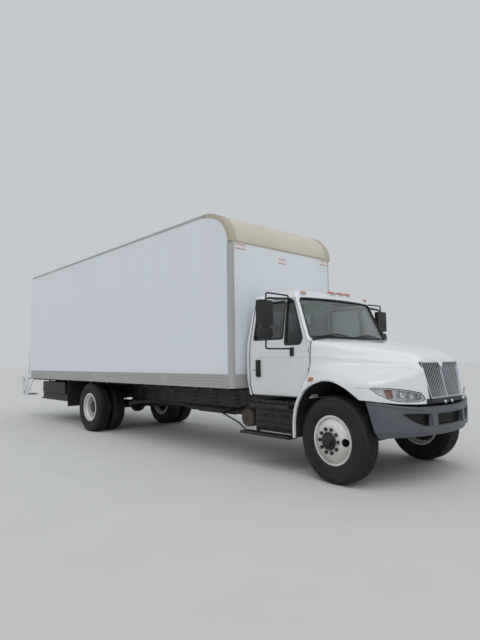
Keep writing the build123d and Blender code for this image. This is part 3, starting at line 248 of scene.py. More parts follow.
@dataclass(frozen=True)
class Paint:
    """Sprayed paint with a clear coat, faint runs of dirt and a film of road dust towards the ground."""

    name: str
    colour: str
    dust: str = "#8d8578"
    dust_top: float = 1.1
    gloss: float = 0.22
    streaks: float = 0.0
    coat: float = 0.6
    inside: str | None = None
    middle: Point = (0.0, 0.0, 0.0)

    def material(self) -> bpy.types.Material:
        """Builds the material.

        Returns:
            The finished material.
        """
        shader = Shader(self.name)
        cloud = shader.noise(3.0, 5.0)
        low = shader.axis("Z").ease(self.dust_top, self.dust_top * 0.4) * cloud.ease(0.35, 0.75)
        runs = shader.noise(1.0, 4.0, 0.6, shader.stretched(2.0, 9.0, 0.35)).ease(0.42, 0.8) * self.streaks
        colour = shader.mix(low * 0.45 + runs, linear(self.colour), linear(self.dust))
        if self.inside is not None:
            colour = shader.mix(shader.turned_in(self.middle), colour, linear(self.inside))
        wave = shader.bump(shader.noise(2.5, 1.0), 0.08, 0.01)
        return shader.finish(colour, (low + runs) * 0.4 + self.gloss, 0.0, wave, Coat_Weight=self.coat,
                             Coat_Roughness=0.06)


@dataclass(frozen=True)
class Moulding:
    """Moulded plastic or rubber with a fine grain and faint scuffs."""

    name: str
    colour: str
    rough: float = 0.55
    grain: float = 900.0
    dust: str = "#8d8578"
    dust_amount: float = 0.15

    def material(self) -> bpy.types.Material:
        """Builds the material.

        Returns:
            The finished material.
        """
        shader = Shader(self.name)
        cloud = shader.noise(4.0, 6.0).ease(0.4, 0.75)
        up = shader.facing("Z").ease(0.2, 1.0)
        film = (cloud * 0.6 + up * 0.4) * self.dust_amount
        colour = shader.mix(film, linear(self.colour), linear(self.dust))
        grain = shader.bump(shader.noise(self.grain, 2.0), 0.25, 0.0006)
        return shader.finish(colour, cloud * 0.12 + self.rough, 0.0, grain)


@dataclass(frozen=True)
class Metal:
    """Bare or plated metal with brushing and tarnish."""

    name: str
    colour: str
    rough: float
    brush: Point = (400.0, 4.0, 400.0)
    depth: float = 0.15
    stain: float = 0.5

    def material(self) -> bpy.types.Material:
        """Builds the material.

        Returns:
            The finished material.
        """
        shader = Shader(self.name)
        line = shader.noise(1.0, 2.0, 0.5, shader.stretched(*self.brush))
        stain = shader.noise(6.0, 5.0).ease(0.45, 0.8)
        plain = linear(self.colour)
        colour = shader.mix(stain * self.stain, plain, tuple(c * 0.6 for c in plain))
        return shader.finish(colour, stain * 0.2 + self.rough, 1.0, shader.bump(line, self.depth, 0.0005))


@dataclass(frozen=True)
class Pane:
    """Tinted glass or a clear lens, a little dusty."""

    name: str
    colour: str
    clear: float = 0.75
    cover: float = 0.55

    def material(self) -> bpy.types.Material:
        """Builds the material.

        Returns:
            The finished material.
        """
        shader = Shader(self.name)
        film = shader.noise(7.0, 6.0).ease(0.4, 0.8)
        return shader.finish(linear(self.colour), film * 0.05 + 0.02, Transmission_Weight=self.clear, IOR=1.45,
                             Alpha=self.cover)


@dataclass(frozen=True)
class Cloth:
    """Woven seat fabric with a fine check and a soft sheen."""

    name: str
    colour: str
    weave: float = 2200.0

    def material(self) -> bpy.types.Material:
        """Builds the material.

        Returns:
            The finished material.
        """
        shader = Shader(self.name)
        threads = (shader.axis("X") * self.weave).wave() * (shader.axis("Z") * self.weave).wave()
        cloud = shader.noise(9.0, 5.0).ease(0.3, 0.8)
        plain = linear(self.colour)
        colour = shader.mix(cloud * 0.35 + threads * 0.1, plain, tuple(min(c * 1.7, 1.0) for c in plain))
        return shader.finish(colour, 0.88, 0.0, shader.bump(threads, 0.4, 0.0008), Sheen_Weight=0.25)


CAB_MIDDLE = (0.0, FRONT_AXLE_Y + 1.1, 1.7)
# The finishes that the CAD names as slots.
FINISHES = {finish.name: finish for finish in (
    Moulding("chassis_black", "#17181a", 0.5, 300.0, dust_amount=0.28),
    Paint("body_white", "#dfe3e5"),
    Paint("box_white", "#e0e6eb", gloss=0.42, streaks=0.05, coat=0.2, dust_top=1.5),
    Moulding("bumper_slate", "#50555e", 0.42, dust_amount=0.2),
    Moulding("trim_black", "#121315", 0.42, dust_amount=0.1),
    Moulding("bare_aluminium", "#adadab", 0.38, 500.0, dust_amount=0.25),
    Paint("nose_cream", "#cfc9b8", gloss=0.45, streaks=0.2, coat=0.2),
    Metal("grille_chrome", "#c9cdd1", 0.16),
    Pane("lamp_clear", "#f2f5f7", 0.9, 0.35),
    Moulding("lamp_amber", "#d97a35", 0.2),
    Pane("window_glass", "#93aaa4", 0.8, 0.42),
    Moulding("tyre_rubber", "#131314", 0.72, dust_amount=0.12),
    Paint("wheel_white", "#d8d8d3", dust_top=0.9, gloss=0.4, streaks=0.12),
    Cloth("seat_cloth", "#3a3c40"),
    Moulding("cabin_grey", "#3b3e42", 0.6),
    Moulding("cast_iron", "#2b2a28", 0.6),
    Moulding("tank_brown", "#4a3d33", 0.5),
    Moulding("flap_rubber", "#151516", 0.8),
)}
# The finishes of small parts that no slot names.
EXTRA_FINISHES = {finish.name: finish for finish in (
    Moulding("lens_orange", "#c8744c", 0.2),
    Pane("side_glass", "#34403f", 0.75, 0.6),
    Moulding("liner_black", "#101011", 0.9, 60.0),
    Moulding("lens_brown", "#a45c42", 0.25),
    Moulding("nose_trim", "#b8af9d", 0.55),
    Moulding("label_red", "#c07a74", 0.6),
    # Lighter than the body paint: a painted highlight along the hood's waist crease.
    Moulding("crease_light", "#f0f2f3", 0.35),
    Metal("lamp_silver", "#e6e9eb", 0.3, depth=0.0),
    Moulding("wall_seam", "#b9bcbf", 0.6),
    Paint("cab_paint", "#dfe3e5", inside="#3b3e42", middle=CAB_MIDDLE),
    Moulding("lamp_red", "#a01812", 0.18),
    Metal("mirror_glass", "#dfe3e6", 0.03, depth=0.0, stain=0.1),
    Moulding("hub_black", "#0d0d0e", 0.4),
    Moulding("label_plain", "#e6e2e0", 0.5),
    Metal("steel_grey", "#8b8e90", 0.4),
)}


@cache
def finished(name: str) -> bpy.types.Material:
    """Material of a slot or an extra finish, made once."""
    return {**FINISHES, **EXTRA_FINISHES}[name].material()


def blend(t: Any, start: Any, head: Any, end: Any, tail: Any) -> Any:
    """Cubic from start to end that leaves along head and arrives along tail, for t from 0 to 1."""
    return ((2 * t ** 3 - 3 * t ** 2 + 1) * start + (t ** 3 - 2 * t ** 2 + t) * head
            + (3 * t ** 2 - 2 * t ** 3) * end + (t ** 3 - t ** 2) * tail)


def curve(knots: Sequence[Pair], where: Any) -> Any:
    """Smooth curve through knots, flat past its ends.

    Args:
        knots: value against position, in rising order.
        where: a position or an array of them.

    Returns:
        The curve's value there.
    """
    xs, ys = np.array(knots, float).T
    steps = np.diff(ys) / np.diff(xs)
    slopes = np.concatenate(([steps[0]], (steps[:-1] + steps[1:]) / 2, [steps[-1]]))
    flat = np.concatenate(([False], steps[:-1] * steps[1:] <= 0, [False]))
    slopes = np.where(flat, 0.0, slopes)
    x = np.clip(np.asarray(where, float), xs[0], xs[-1])
    i = np.clip(np.searchsorted(xs, x, side="right") - 1, 0, len(xs) - 2)
    width = xs[i + 1] - xs[i]
    return blend((x - xs[i]) / width, ys[i], width * slopes[i], ys[i + 1], width * slopes[i + 1])


def rounded(corners: Sequence[Any], radius: float, steps: int = 5, closed: bool = True) -> list[Vector]:
    """Polyline with its corners rounded.

    Args:
        corners: its corners, in two or three dimensions.
        radius: distance from a corner at which its round begins, at most.
        steps: points on each round.
        closed: whether the line runs back to its start.

    Returns:
        The points of the rounded line.
    """
    points = [Vector(c) for c in corners]
    count = len(points)
    made: list[Vector] = []
    for i, corner in enumerate(points):
        if not closed and i in (0, count - 1):
            made.append(corner.copy())
            continue
        before, after = points[i - 1] - corner, points[(i + 1) % count] - corner
        start = corner + before.normalized() * min(radius, before.length * 0.49)
        end = corner + after.normalized() * min(radius, after.length * 0.49)
        for t in (k / steps for k in range(steps + 1)):
            made.append(start * (1 - t) ** 2 + corner * 2 * t * (1 - t) + end * t ** 2)
    return made


def oblong(first: Pair, second: Pair, radius: float, steps: int) -> list[Vector]:
    """Outline between two values in each of two directions, with its corners rounded."""
    (a, b), (c, d) = first, second
    return rounded([(a, c), (b, c), (b, d), (a, d)], radius, steps)


def smooth_line(points: Sequence[Pair], steps: int = 6) -> list[Pair]:
    """Smooth open line through points in two dimensions.

    Args:
        points: the points it passes through.
        steps: pieces between each two of them.

    Returns:
        The line's points.
    """
    places = np.linspace(0, len(points) - 1, (len(points) - 1) * steps + 1)
    first, second = (curve(list(enumerate(values)), places) for values in zip(*points))
    return [(float(a), float(b)) for a, b in zip(first, second)]


def inset(outline: Sequence[Vector], amount: float) -> list[Vector]:
    """Moves a closed outline in two dimensions inward.

    Args:
        outline: its points, either way round.
        amount: the distance, below zero outward.

    Returns:
        The new outline's points.
    """
    after = [*outline[1:], outline[0]]
    area = sum(p.x * q.y - q.x * p.y for p, q in zip(outline, after))
    side = 1.0 if area > 0 else -1.0
    made = []
    for before, p, q in zip([outline[-1], *outline], outline, after):
        along = (q - before).normalized()
        made.append(p + Vector((-along.y, along.x)) * amount * side)
    return made


def densely(outline: Sequence[Vector], step: float) -> list[Vector]:
    """Adds points to a closed outline.

    Args:
        outline: its points.
        step: how far apart two points may lie.

    Returns:
        The outline with the points added.
    """
    made: list[Vector] = []
    for point, after in zip(outline, [*outline[1:], outline[0]]):
        pieces = int((after - point).length // step) + 1
        made.extend(point.lerp(after, k / pieces) for k in range(pieces))
    return made


def abreast(hand: int) -> Surface:
    """Surface of places by a station and height, and a distance from the truck's middle to one side."""
    return lambda point, x: at(hand * x, point.x, point.y)


def aimed(place: Vector, turn: float) -> Matrix:
    """Place whose first axis is turned about the upright."""
    return Matrix.Translation(place) @ Matrix.Rotation(turn, 4, "Z")


def outward(place: Vector, out: Vector) -> Matrix:
    """Place whose first axis is a level direction and whose third is the upright."""
    up = Vector((0, 0, 1))
    return Matrix.Translation(place) @ Matrix((out, up.cross(out), up)).transposed().to_4x4()


class Piece:
    """Mesh of one piece, gathered from simple forms and then dressed."""

    def __init__(self, name: str) -> None:
        """Starts an empty mesh."""
        self.name = name
        self.mesh = bmesh.new()

    def loft(self, rings: Sequence[Sequence[Vector]], closed: bool = True, caps: bool = True,
             loop: bool = False) -> Piece:
        """Skin over rings of points.

        Args:
            rings: rings of equal length.
            closed: whether each ring is closed.
            caps: whether the ends get faces.
            loop: whether the last ring joins the first.

        Returns:
            This piece.
        """
        rows = [[self.mesh.verts.new(p) for p in ring] for ring in rings]
        count = len(rows[0])
        for first, second in zip(rows, [*rows[1:], rows[0]] if loop else rows[1:]):
            for i in range(count if closed else count - 1):
                j = (i + 1) % count
                self.mesh.faces.new((first[i], first[j], second[j], second[i]))
        if caps and closed and not loop:
            self.mesh.faces.new(list(reversed(rows[0])))
            self.mesh.faces.new(rows[-1])
        return self

    def stepped(self, outline: Sequence[Vector], steps: Sequence[Pair], surface: Surface, loop: bool = False) -> Piece:
        """Skin over an outline at steps inward, each with its distance on a surface."""
        return self.loft([[surface(p, out) for p in inset(outline, amount)] for amount, out in steps], loop=loop)

    def prism(self, outline: Sequence[Vector], reach: Vector) -> Piece:
        """Outline pushed along a vector."""
        return self.loft([outline, [p + reach for p in outline]])

    def slab(self, x: Pair, station: Pair, height: Pair) -> Piece:
        """Block between two values in each direction, in the CAD's millimetres.

        Args:
            x: its two sides, in any order.
            station: its front and rear.
            height: its foot and top.

        Returns:
            This piece.
        """
        (x0, x1), (s0, s1), (foot, top) = sorted(x), station, height
        corners = [at(a, s, foot) for a, s in ((x0, s0), (x1, s0), (x1, s1), (x0, s1))]
        return self.prism(corners, Vector((0, 0, (top - foot) / 1000.0)))

    def tube(self, path: Sequence[Vector], radius: float, sides: int = 10) -> Piece:
        """Round bar along an open line.

        Args:
            path: the line's points.
            radius: the bar's radius, in metres.
            sides: how many faces run round it.

        Returns:
            This piece.
        """
        rings = []
        across = (path[1] - path[0]).orthogonal().normalized()
        for before, point, after in zip([path[0], *path], path, [*path[1:], path[-1]]):
            along = (after - before).normalized()
            across = (across - along * across.dot(along)).normalized()
            other = along.cross(across)
            rings.append([point + (across * math.cos(a) + other * math.sin(a)) * radius
                          for a in (2 * math.pi * k / sides for k in range(sides))])
        return self.loft(rings)

    def turned(self, place: Matrix, profile: Sequence[Pair], steps: int = 48, closed: bool = True) -> Piece:
        """Profile turned about a place's first axis.

        Args:
            place: the place in the truck.
            profile: distance along the axis and radius of each point, in millimetres.
            steps: how many rings make the turn.
            closed: whether the profile runs back to its start.

        Returns:
            This piece.
        """
        rings = []
        for a in (2 * math.pi * k / steps for k in range(steps)):
            rings.append([place @ Vector((out / 1000.0, radius * math.cos(a) / 1000.0,
                                          radius * math.sin(a) / 1000.0)) for out, radius in profile])
        return self.loft(rings, closed, False, True)

    def twin(self) -> Piece:
        """Adds the mirror image on the truck's other side.

        Returns:
            This piece.
        """
        made = bmesh.ops.duplicate(self.mesh, geom=[*self.mesh.verts, *self.mesh.edges, *self.mesh.faces])["geom"]
        for item in made:
            if isinstance(item, bmesh.types.BMVert):
                item.co.x = -item.co.x
        bmesh.ops.reverse_faces(self.mesh, faces=[f for f in made if isinstance(f, bmesh.types.BMFace)])
        return self

    def made(self, soften: float = 0.0, sharp: float = 35.0, recalc: bool = True) -> Object:
        """Turns the gathered mesh into an object.

        Args:
            soften: width of the bevel on its edges, in metres.
            sharp: angle in degrees past which an edge stays sharp.
            recalc: whether faces are turned outward.

        Returns:
            The object, linked and at the origin.
        """
        bmesh.ops.remove_doubles(self.mesh, verts=self.mesh.verts[:], dist=0.00002)
        bmesh.ops.dissolve_degenerate(self.mesh, dist=0.00001, edges=self.mesh.edges[:])
        if recalc:
            bmesh.ops.recalc_face_normals(self.mesh, faces=self.mesh.faces[:])
        if soften > 0.0:
            edges = [e for e in self.mesh.edges if len(e.link_faces) == 2 and e.calc_face_angle(0.0) > 0.5]
            bmesh.ops.bevel(self.mesh, geom=edges, offset=soften, segments=2, affect="EDGES", profile=0.5,
                            clamp_overlap=True)
        data = bpy.data.meshes.new(self.name)
        self.mesh.to_mesh(data)
        self.mesh.free()
        return shaded(place_mesh(self.name, data), sharp)

    def dress(self, finish: str, body: str = "chassis", soften: float = 0.0, sharp: float = 35.0) -> Object:
        """Finishes the piece: mesh, material and the body it rides on."""
        return dressed(self.made(soften, sharp), finish, body)


def place_mesh(name: str, data: Any) -> Object:
    """Links an object to the scene, at the origin.

    Args:
        name: the object's name.
        data: its mesh, lamp or camera.

    Returns:
        The object.
    """
    made = bpy.data.objects.new(name, data)
    bpy.context.scene.collection.objects.link(made)
    return made


def shaded(made: Object, sharp: float) -> Object:
    """Shades an object smooth.

    Args:
        made: the object.
        sharp: angle in degrees past which an edge stays sharp.

    Returns:
        The object.
    """
    made.data.polygons.foreach_set("use_smooth", [True] * len(made.data.polygons))
    made.data.set_sharp_from_angle(angle=math.radians(sharp))
    return made


def dressed(made: Object, finish: str, body: str) -> Object:
    """Gives an object its material and its body.

    Args:
        made: the object.
        finish: a slot's name or an extra finish.
        body: the CAD body it moves with.

    Returns:
        The object.
    """
    made.data.materials.clear()
    made.data.materials.append(finished(finish))
    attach(made, body)
    finish in FINISHES
    LOG.info("%s: %d faces on %s", made.name, len(made.data.polygons), body)
    return made


def settle(made: Object) -> Object:
    """Makes the result of an object's modifiers its mesh, and drops them.

    Args:
        made: the object.

    Returns:
        The object.
    """
    bpy.context.view_layer.update()
    data = bpy.data.meshes.new_from_object(made.evaluated_get(bpy.context.evaluated_depsgraph_get()))
    made.modifiers.clear()
    old = made.data
    made.data = data
    bpy.data.meshes.remove(old)
    data.name = made.name
    return made


def walled(made: Object, thickness: float, offset: float = 0.0) -> Object:
    """Gives an open skin a wall.

    Args:
        made: the skin.
        thickness: the wall's thickness, in metres.
        offset: -1 for a wall inside the skin, 0 for one on both sides.

    Returns:
        The object.
    """
    wall = made.modifiers.new("wall", "SOLIDIFY")
    wall.thickness, wall.offset = thickness, offset
    return settle(made)


def carve(made: Object, tool: Object) -> Object:
    """Cuts a tool's form out of an object and throws the tool away.

    Args:
        made: the object.
        tool: the tool.

    Returns:
        The object.
    """
    cut = made.modifiers.new("cut", "BOOLEAN")
    cut.operation, cut.solver, cut.object = "DIFFERENCE", "EXACT", tool
    settle(made)
    bpy.data.objects.remove(tool)
    return made


class Head(Enum):
    """Small shape that a pattern repeats."""

    ROUND = "round"
    BLOCK = "block"


def head(radius: float, height: float, taper: float, sides: int) -> dict[str, Any]:
    """Sizes of a round head, in metres: taper is its top's share of the radius."""
    return {"Radius": radius, "Height": height, "Taper": taper, "Sides": sides}


class Pattern:
    """Geometry Nodes tree that sets one small shape on every place it is given."""

    def __init__(self, kind: Head) -> None:
        """Builds the tree.

        Args:
            kind: the shape that it sets.
        """
        self.tree = bpy.data.node_groups.new(f"pattern_{kind.value}", "GeometryNodeTree")
        names = (("Radius", "Float"), ("Height", "Float"), ("Taper", "Float"), ("Sides", "Int")) \
            if kind is Head.ROUND else (("Size", "Vector"),)
        self.sockets = {name: self.tree.interface.new_socket(name, in_out="INPUT", socket_type=f"NodeSocket{socket}")
                        for name, socket in (("Places", "Geometry"), *names, ("Finish", "Material"))}
        self.tree.interface.new_socket("Pieces", in_out="OUTPUT", socket_type="NodeSocketGeometry")
        start = self.node("NodeGroupInput", {}).outputs
        if kind is Head.ROUND:
            width = self.node("ShaderNodeMath", {0: start["Radius"], 1: start["Taper"]}, operation="MULTIPLY")
            shape = self.node("GeometryNodeMeshCone", {"Vertices": start["Sides"], "Radius Top": width.outputs[0],
                                                       "Radius Bottom": start["Radius"], "Depth": start["Height"]})
        else:
            shape = self.node("GeometryNodeMeshCube", {"Size": start["Size"]})
        turn = self.node("GeometryNodeInputNamedAttribute", {"Name": "turn"}, data_type="FLOAT_VECTOR")
        angle = self.node("FunctionNodeEulerToRotation", {"Euler": turn.outputs["Attribute"]})
        spread = self.node("GeometryNodeInstanceOnPoints", {"Points": start["Places"], "Rotation": angle.outputs[0],
                                                            "Instance": shape.outputs["Mesh"]})
        real = self.node("GeometryNodeRealizeInstances", {"Geometry": spread.outputs[0]})
        paint = self.node("GeometryNodeSetMaterial", {"Geometry": real.outputs[0], "Material": start["Finish"]})
        self.node("NodeGroupOutput", {"Pieces": paint.outputs[0]})

    def node(self, kind: str, inputs: dict[Any, Any], **settings: Any) -> bpy.types.Node:
        """Adds one node with its inputs and its settings."""
        return add_node(self.tree, kind, settings, inputs)

    def spread(self, name: str, places: Sequence[tuple[Vector, Matrix]], sizes: dict[str, Any], finish: str,
               body: str, sharp: float = 40.0) -> None:
        """Sets the shape on places and makes the result one piece.

        Args:
            name: name of the piece.
            places: position and turn of each; a round head stands along the turn's third axis.
            sizes: the tree's inputs by name, in metres.
            finish: material of the shapes.
            body: body that carries them.
            sharp: angle in degrees past which an edge stays sharp.
        """
        data = bpy.data.meshes.new(name)
        data.from_pydata([tuple(p) for p, _ in places], [], [])
        turns = data.attributes.new("turn", "FLOAT_VECTOR", "POINT")
        for mark, (_, turn) in zip(turns.data, places):
            mark.vector = turn.to_euler("XYZ")
        made = place_mesh(name, data)
        modifier = made.modifiers.new("pattern", "NODES")
        modifier.node_group = self.tree
        for key, value in {**sizes, "Finish": finished(finish)}.items():
            modifier[self.sockets[key].identifier] = value
        dressed(shaded(settle(made), sharp), finish, body)


def standing(*along: float) -> Matrix:
    """Turn whose third axis is one level direction and whose first is the upright."""
    third, one = Vector(along), Vector((0, 0, 1))
    return Matrix((one, third.cross(one), third)).transposed()


def spun(place: Matrix, turn: float, out: float, radius: float, lean: float = math.pi / 2) -> tuple[Vector, Matrix]:
    """Place of a head on a wheel.

    Args:
        place: the wheel's place, which it turns about the first axis of.
        turn: angle round that axis, in radians.
        out: distance along the axis, in metres.
        radius: distance from the axis, in metres.
        lean: turn of the head about its own second axis, in radians.

    Returns:
        The head's position and turn.
    """
    spot = place @ Matrix.Rotation(turn, 4, "X") @ Matrix.Translation(Vector((out, 0, radius)))
    spot = spot @ Matrix.Rotation(lean, 4, "Y")
    return spot.translation, spot.to_3x3()


class HoodForm:
    """Outer surface of the hood: smooth cross sections, rounded off at the nose's plan and rake."""

    # columns: station, then x and height of crown, shoulder, crease, valley, bulge and lip
    rows = (
        (-930, (0, 1560), (330, 1522), (430, 1432), (475, 1385), (840, 1235), (1165, 1112)),
        (-520, (0, 1640), (490, 1594), (600, 1456), (645, 1385), (945, 1298), (1165, 1168)),
        (-200, (0, 1693), (640, 1650), (740, 1482), (785, 1395), (1035, 1352), (1165, 1212)),
        (150, (0, 1742), (795, 1703), (900, 1512), (935, 1410), (1070, 1368), (1165, 1218)),
        (470, (0, 1768), (925, 1737), (986, 1537), (990, 1425), (1030, 1310), (1165, 1150)),
    )
    plan = ((0, -922), (300, -898), (594, -834), (840, -737), (1046, -622), (1120, -540), (1163, -450), (1168, -380))
    rake = ((880, -896), (950, -893), (1450, -806), (1530, -768), (1612, -640), (1700, -520))
    edge = ((0, 955), (640, 959), (880, 975), (1085, 1001), (1200, 1026))
    # height of the sections' centre; stations where the lines fan out and of the rear edge
    low, fan, rear = 900.0, -300.0, 458.0
    # place across and station of points that are surely inside, and a reach that ends outside
    inside, outside = (300.0, -200.0), 900.0
    # cells of the table of reaches, along the truck and round a section
    cells = (120, 720)

    def __init__(self) -> None:
        """Works out the reach of the cross sections once."""
        self.stations = np.linspace(-960.0, 480.0, self.cells[0] + 1)
        self.angles = np.radians(np.linspace(0.0, 90.0, self.cells[1] + 1))
        self.reach = np.array([self._section(s) for s in self.stations])

    def knot(self, index: int, station: Any) -> tuple[Any, Any]:
        """Position across and height of one of the section's points at a station."""
        return tuple(curve([(row[0], row[index][k]) for row in self.rows], station) for k in (0, 1))

    def _section(self, station: float) -> np.ndarray:
        """Reach of one cross section.

        Args:
            station: the section's station.

        Returns:
            Distance from the section's centre to its outline, at each of the angles.
        """
        points = [np.array(self.knot(i, station), float) for i in range(1, 7)]
        points.append(np.array((points[-1][0], self.low)))
        crown, shoulder, crease = 0, 1, 2
        lines = []
        for i, (start, end) in enumerate(zip(points, points[1:])):
            chord = end - start
            before = points[i - 1] if i > crown else points[1] * (-1.0, 1.0)
            after = points[i + 2] if i + 2 < len(points) else end + chord
            head = chord * (0.2, 1.1) if i == crease else (end - before) * 0.5
            tail = chord * 0.9 if i == shoulder else (after - start) * 0.5
            head, tail = (way / max(np.linalg.norm(way), 1e-6) * np.linalg.norm(chord) for way in (head, tail))
            lines.append(blend(np.linspace(0, 1, 40)[:, None], start, head, end, tail))
        line = np.concatenate(lines) - (0.0, self.low)
        angle = np.arctan2(line[:, 1], line[:, 0])
        order = np.argsort(angle)
        return np.interp(self.angles, angle[order], np.hypot(line[:, 0], line[:, 1])[order])

    def depth(self, x: np.ndarray, station: np.ndarray, height: np.ndarray) -> np.ndarray:
        """Rough distance of points outside the surface.

        Args:
            x: their places across.
            station: their stations.
            height: their heights.

        Returns:
            The distances, below zero inside the surface.
        """
        angle = np.arctan2(height - self.low, np.abs(x))
        i = np.clip((station - self.stations[0]) / np.diff(self.stations[:2]), 0, self.cells[0] - 0.001)
        j = np.clip(angle / np.diff(self.angles[:2]), 0, self.cells[1] - 0.001)
        i0, j0 = i.astype(int), j.astype(int)
        fi, fj = i - i0, j - j0
        near, far = (self.reach[k, j0] * (1 - fj) + self.reach[k, j0 + 1] * fj for k in (i0, i0 + 1))
        section = np.hypot(x, height - self.low) - (near * (1 - fi) + far * fi)
        front = np.interp(np.abs(x), *zip(*self.plan)) - station
        slope = curve(self.rake, height) - station
        return self._blend(section, self._blend(front * 0.85, slope * 0.95, 50.0), 75.0)

    @staticmethod
    def _blend(first: np.ndarray, second: np.ndarray, width: float) -> np.ndarray:
        """Larger of two values with a rounded corner between them."""
        h = np.maximum(width - np.abs(first - second), 0.0) / width
        return np.maximum(first, second) + h * h * width * 0.25

    def hit(self, start: np.ndarray, way: np.ndarray, far: float = 2500.0) -> np.ndarray:
        """Finds where rays from inside leave the surface.

        Args:
            start: rows of the rays' first points.
            way: their direction, or rows of their directions.
            far: a distance that is surely outside.

        Returns:
            Rows of the points where they leave it.
        """
        near, reach = np.zeros(len(start)), np.full(len(start), far)
        for _ in range(34):
            middle = (near + reach) / 2
            inside = self.depth(*(start + way * middle[:, None]).T) < 0
            near, reach = np.where(inside, middle, near), np.where(inside, reach, middle)
        return start + way * near[:, None]

    def beside(self, points: Sequence[Any], out: float, hand: int) -> list[Vector]:
        """Places on one side of the surface, moved out of it, by stations and heights in millimetres."""
        start = np.array([[self.inside[0], *p] for p in points])
        found = self.hit(start, np.array((1.0, 0.0, 0.0)), self.outside)
        return [at(hand * (x + out), station, height) for x, station, height in found]

    def front(self, points: Sequence[Any], back: float = 0.0) -> list[Vector]:
        """Places on the surface's front, set back from it, by places across and heights in millimetres."""
        start = np.array([[x, self.inside[1], z] for x, z in points])
        found = self.hit(start, np.array((0.0, -1.0, 0.0)), self.outside)
        return [at(x, station + back, height) for x, station, height in found]

    def column(self, station: float, turn: float) -> np.ndarray:
        """Points of one line from the lower edge to the top.

        Args:
            station: where the line's rays start.
            turn: angle of its plane, 0 to the side and a right angle to the front.

        Returns:
            Rows of x, station and height on the right side, x below zero.
        """
        start = np.array((0.0, station, self.low))

        def ray(angle: float) -> np.ndarray:
            """Direction at an angle above the level."""
            flat = np.array((-math.cos(turn), -math.sin(turn), 0.0)) * math.cos(angle)
            return flat + np.array((0, 0, math.sin(angle)))

        low = math.radians(4.0)
        for _ in range(12):
            point = self.hit(start[None], ray(low))[0]
            want = float(np.interp(abs(point[0]), *zip(*self.edge)))
            low = math.atan2(want - self.low, math.hypot(point[0], point[1] - station))
        marks = [low]
        for index in (6, 5, 3, 2):
            where = station
            if turn > 0:
                tries = np.linspace(self.fan, -870.0, 60)
                where = float(np.interp(turn, np.arctan2(self.fan - tries, self.knot(index, tries)[0]), tries))
            across, height = self.knot(index, where)
            marks.append(math.atan2(float(height) - self.low, math.hypot(float(across), station - where)))
        marks.append(math.pi / 2)
        angles = [first + (last - first) * k / count
                  for first, last, count in zip(marks, marks[1:], (7, 14, 16, 10, 22)) for k in range(count)]
        ways = np.array([ray(angle) for angle in (*angles, marks[-1])])
        return self.hit(np.repeat(start[None], len(ways), 0), ways)

    def skin(self) -> Piece:
        """Grid of the right half and its mirror image.

        Returns:
            The piece, not yet dressed.
        """
        lines = [self.column(s, 0.0) for s in np.linspace(self.rear, self.fan, 44)]
        lines += [self.column(self.fan, math.radians(90.0 * k / 60)) for k in range(1, 61)]
        return Piece("hood_skin").loft([[at(*p) for p in line] for line in lines], closed=False, caps=False).twin()


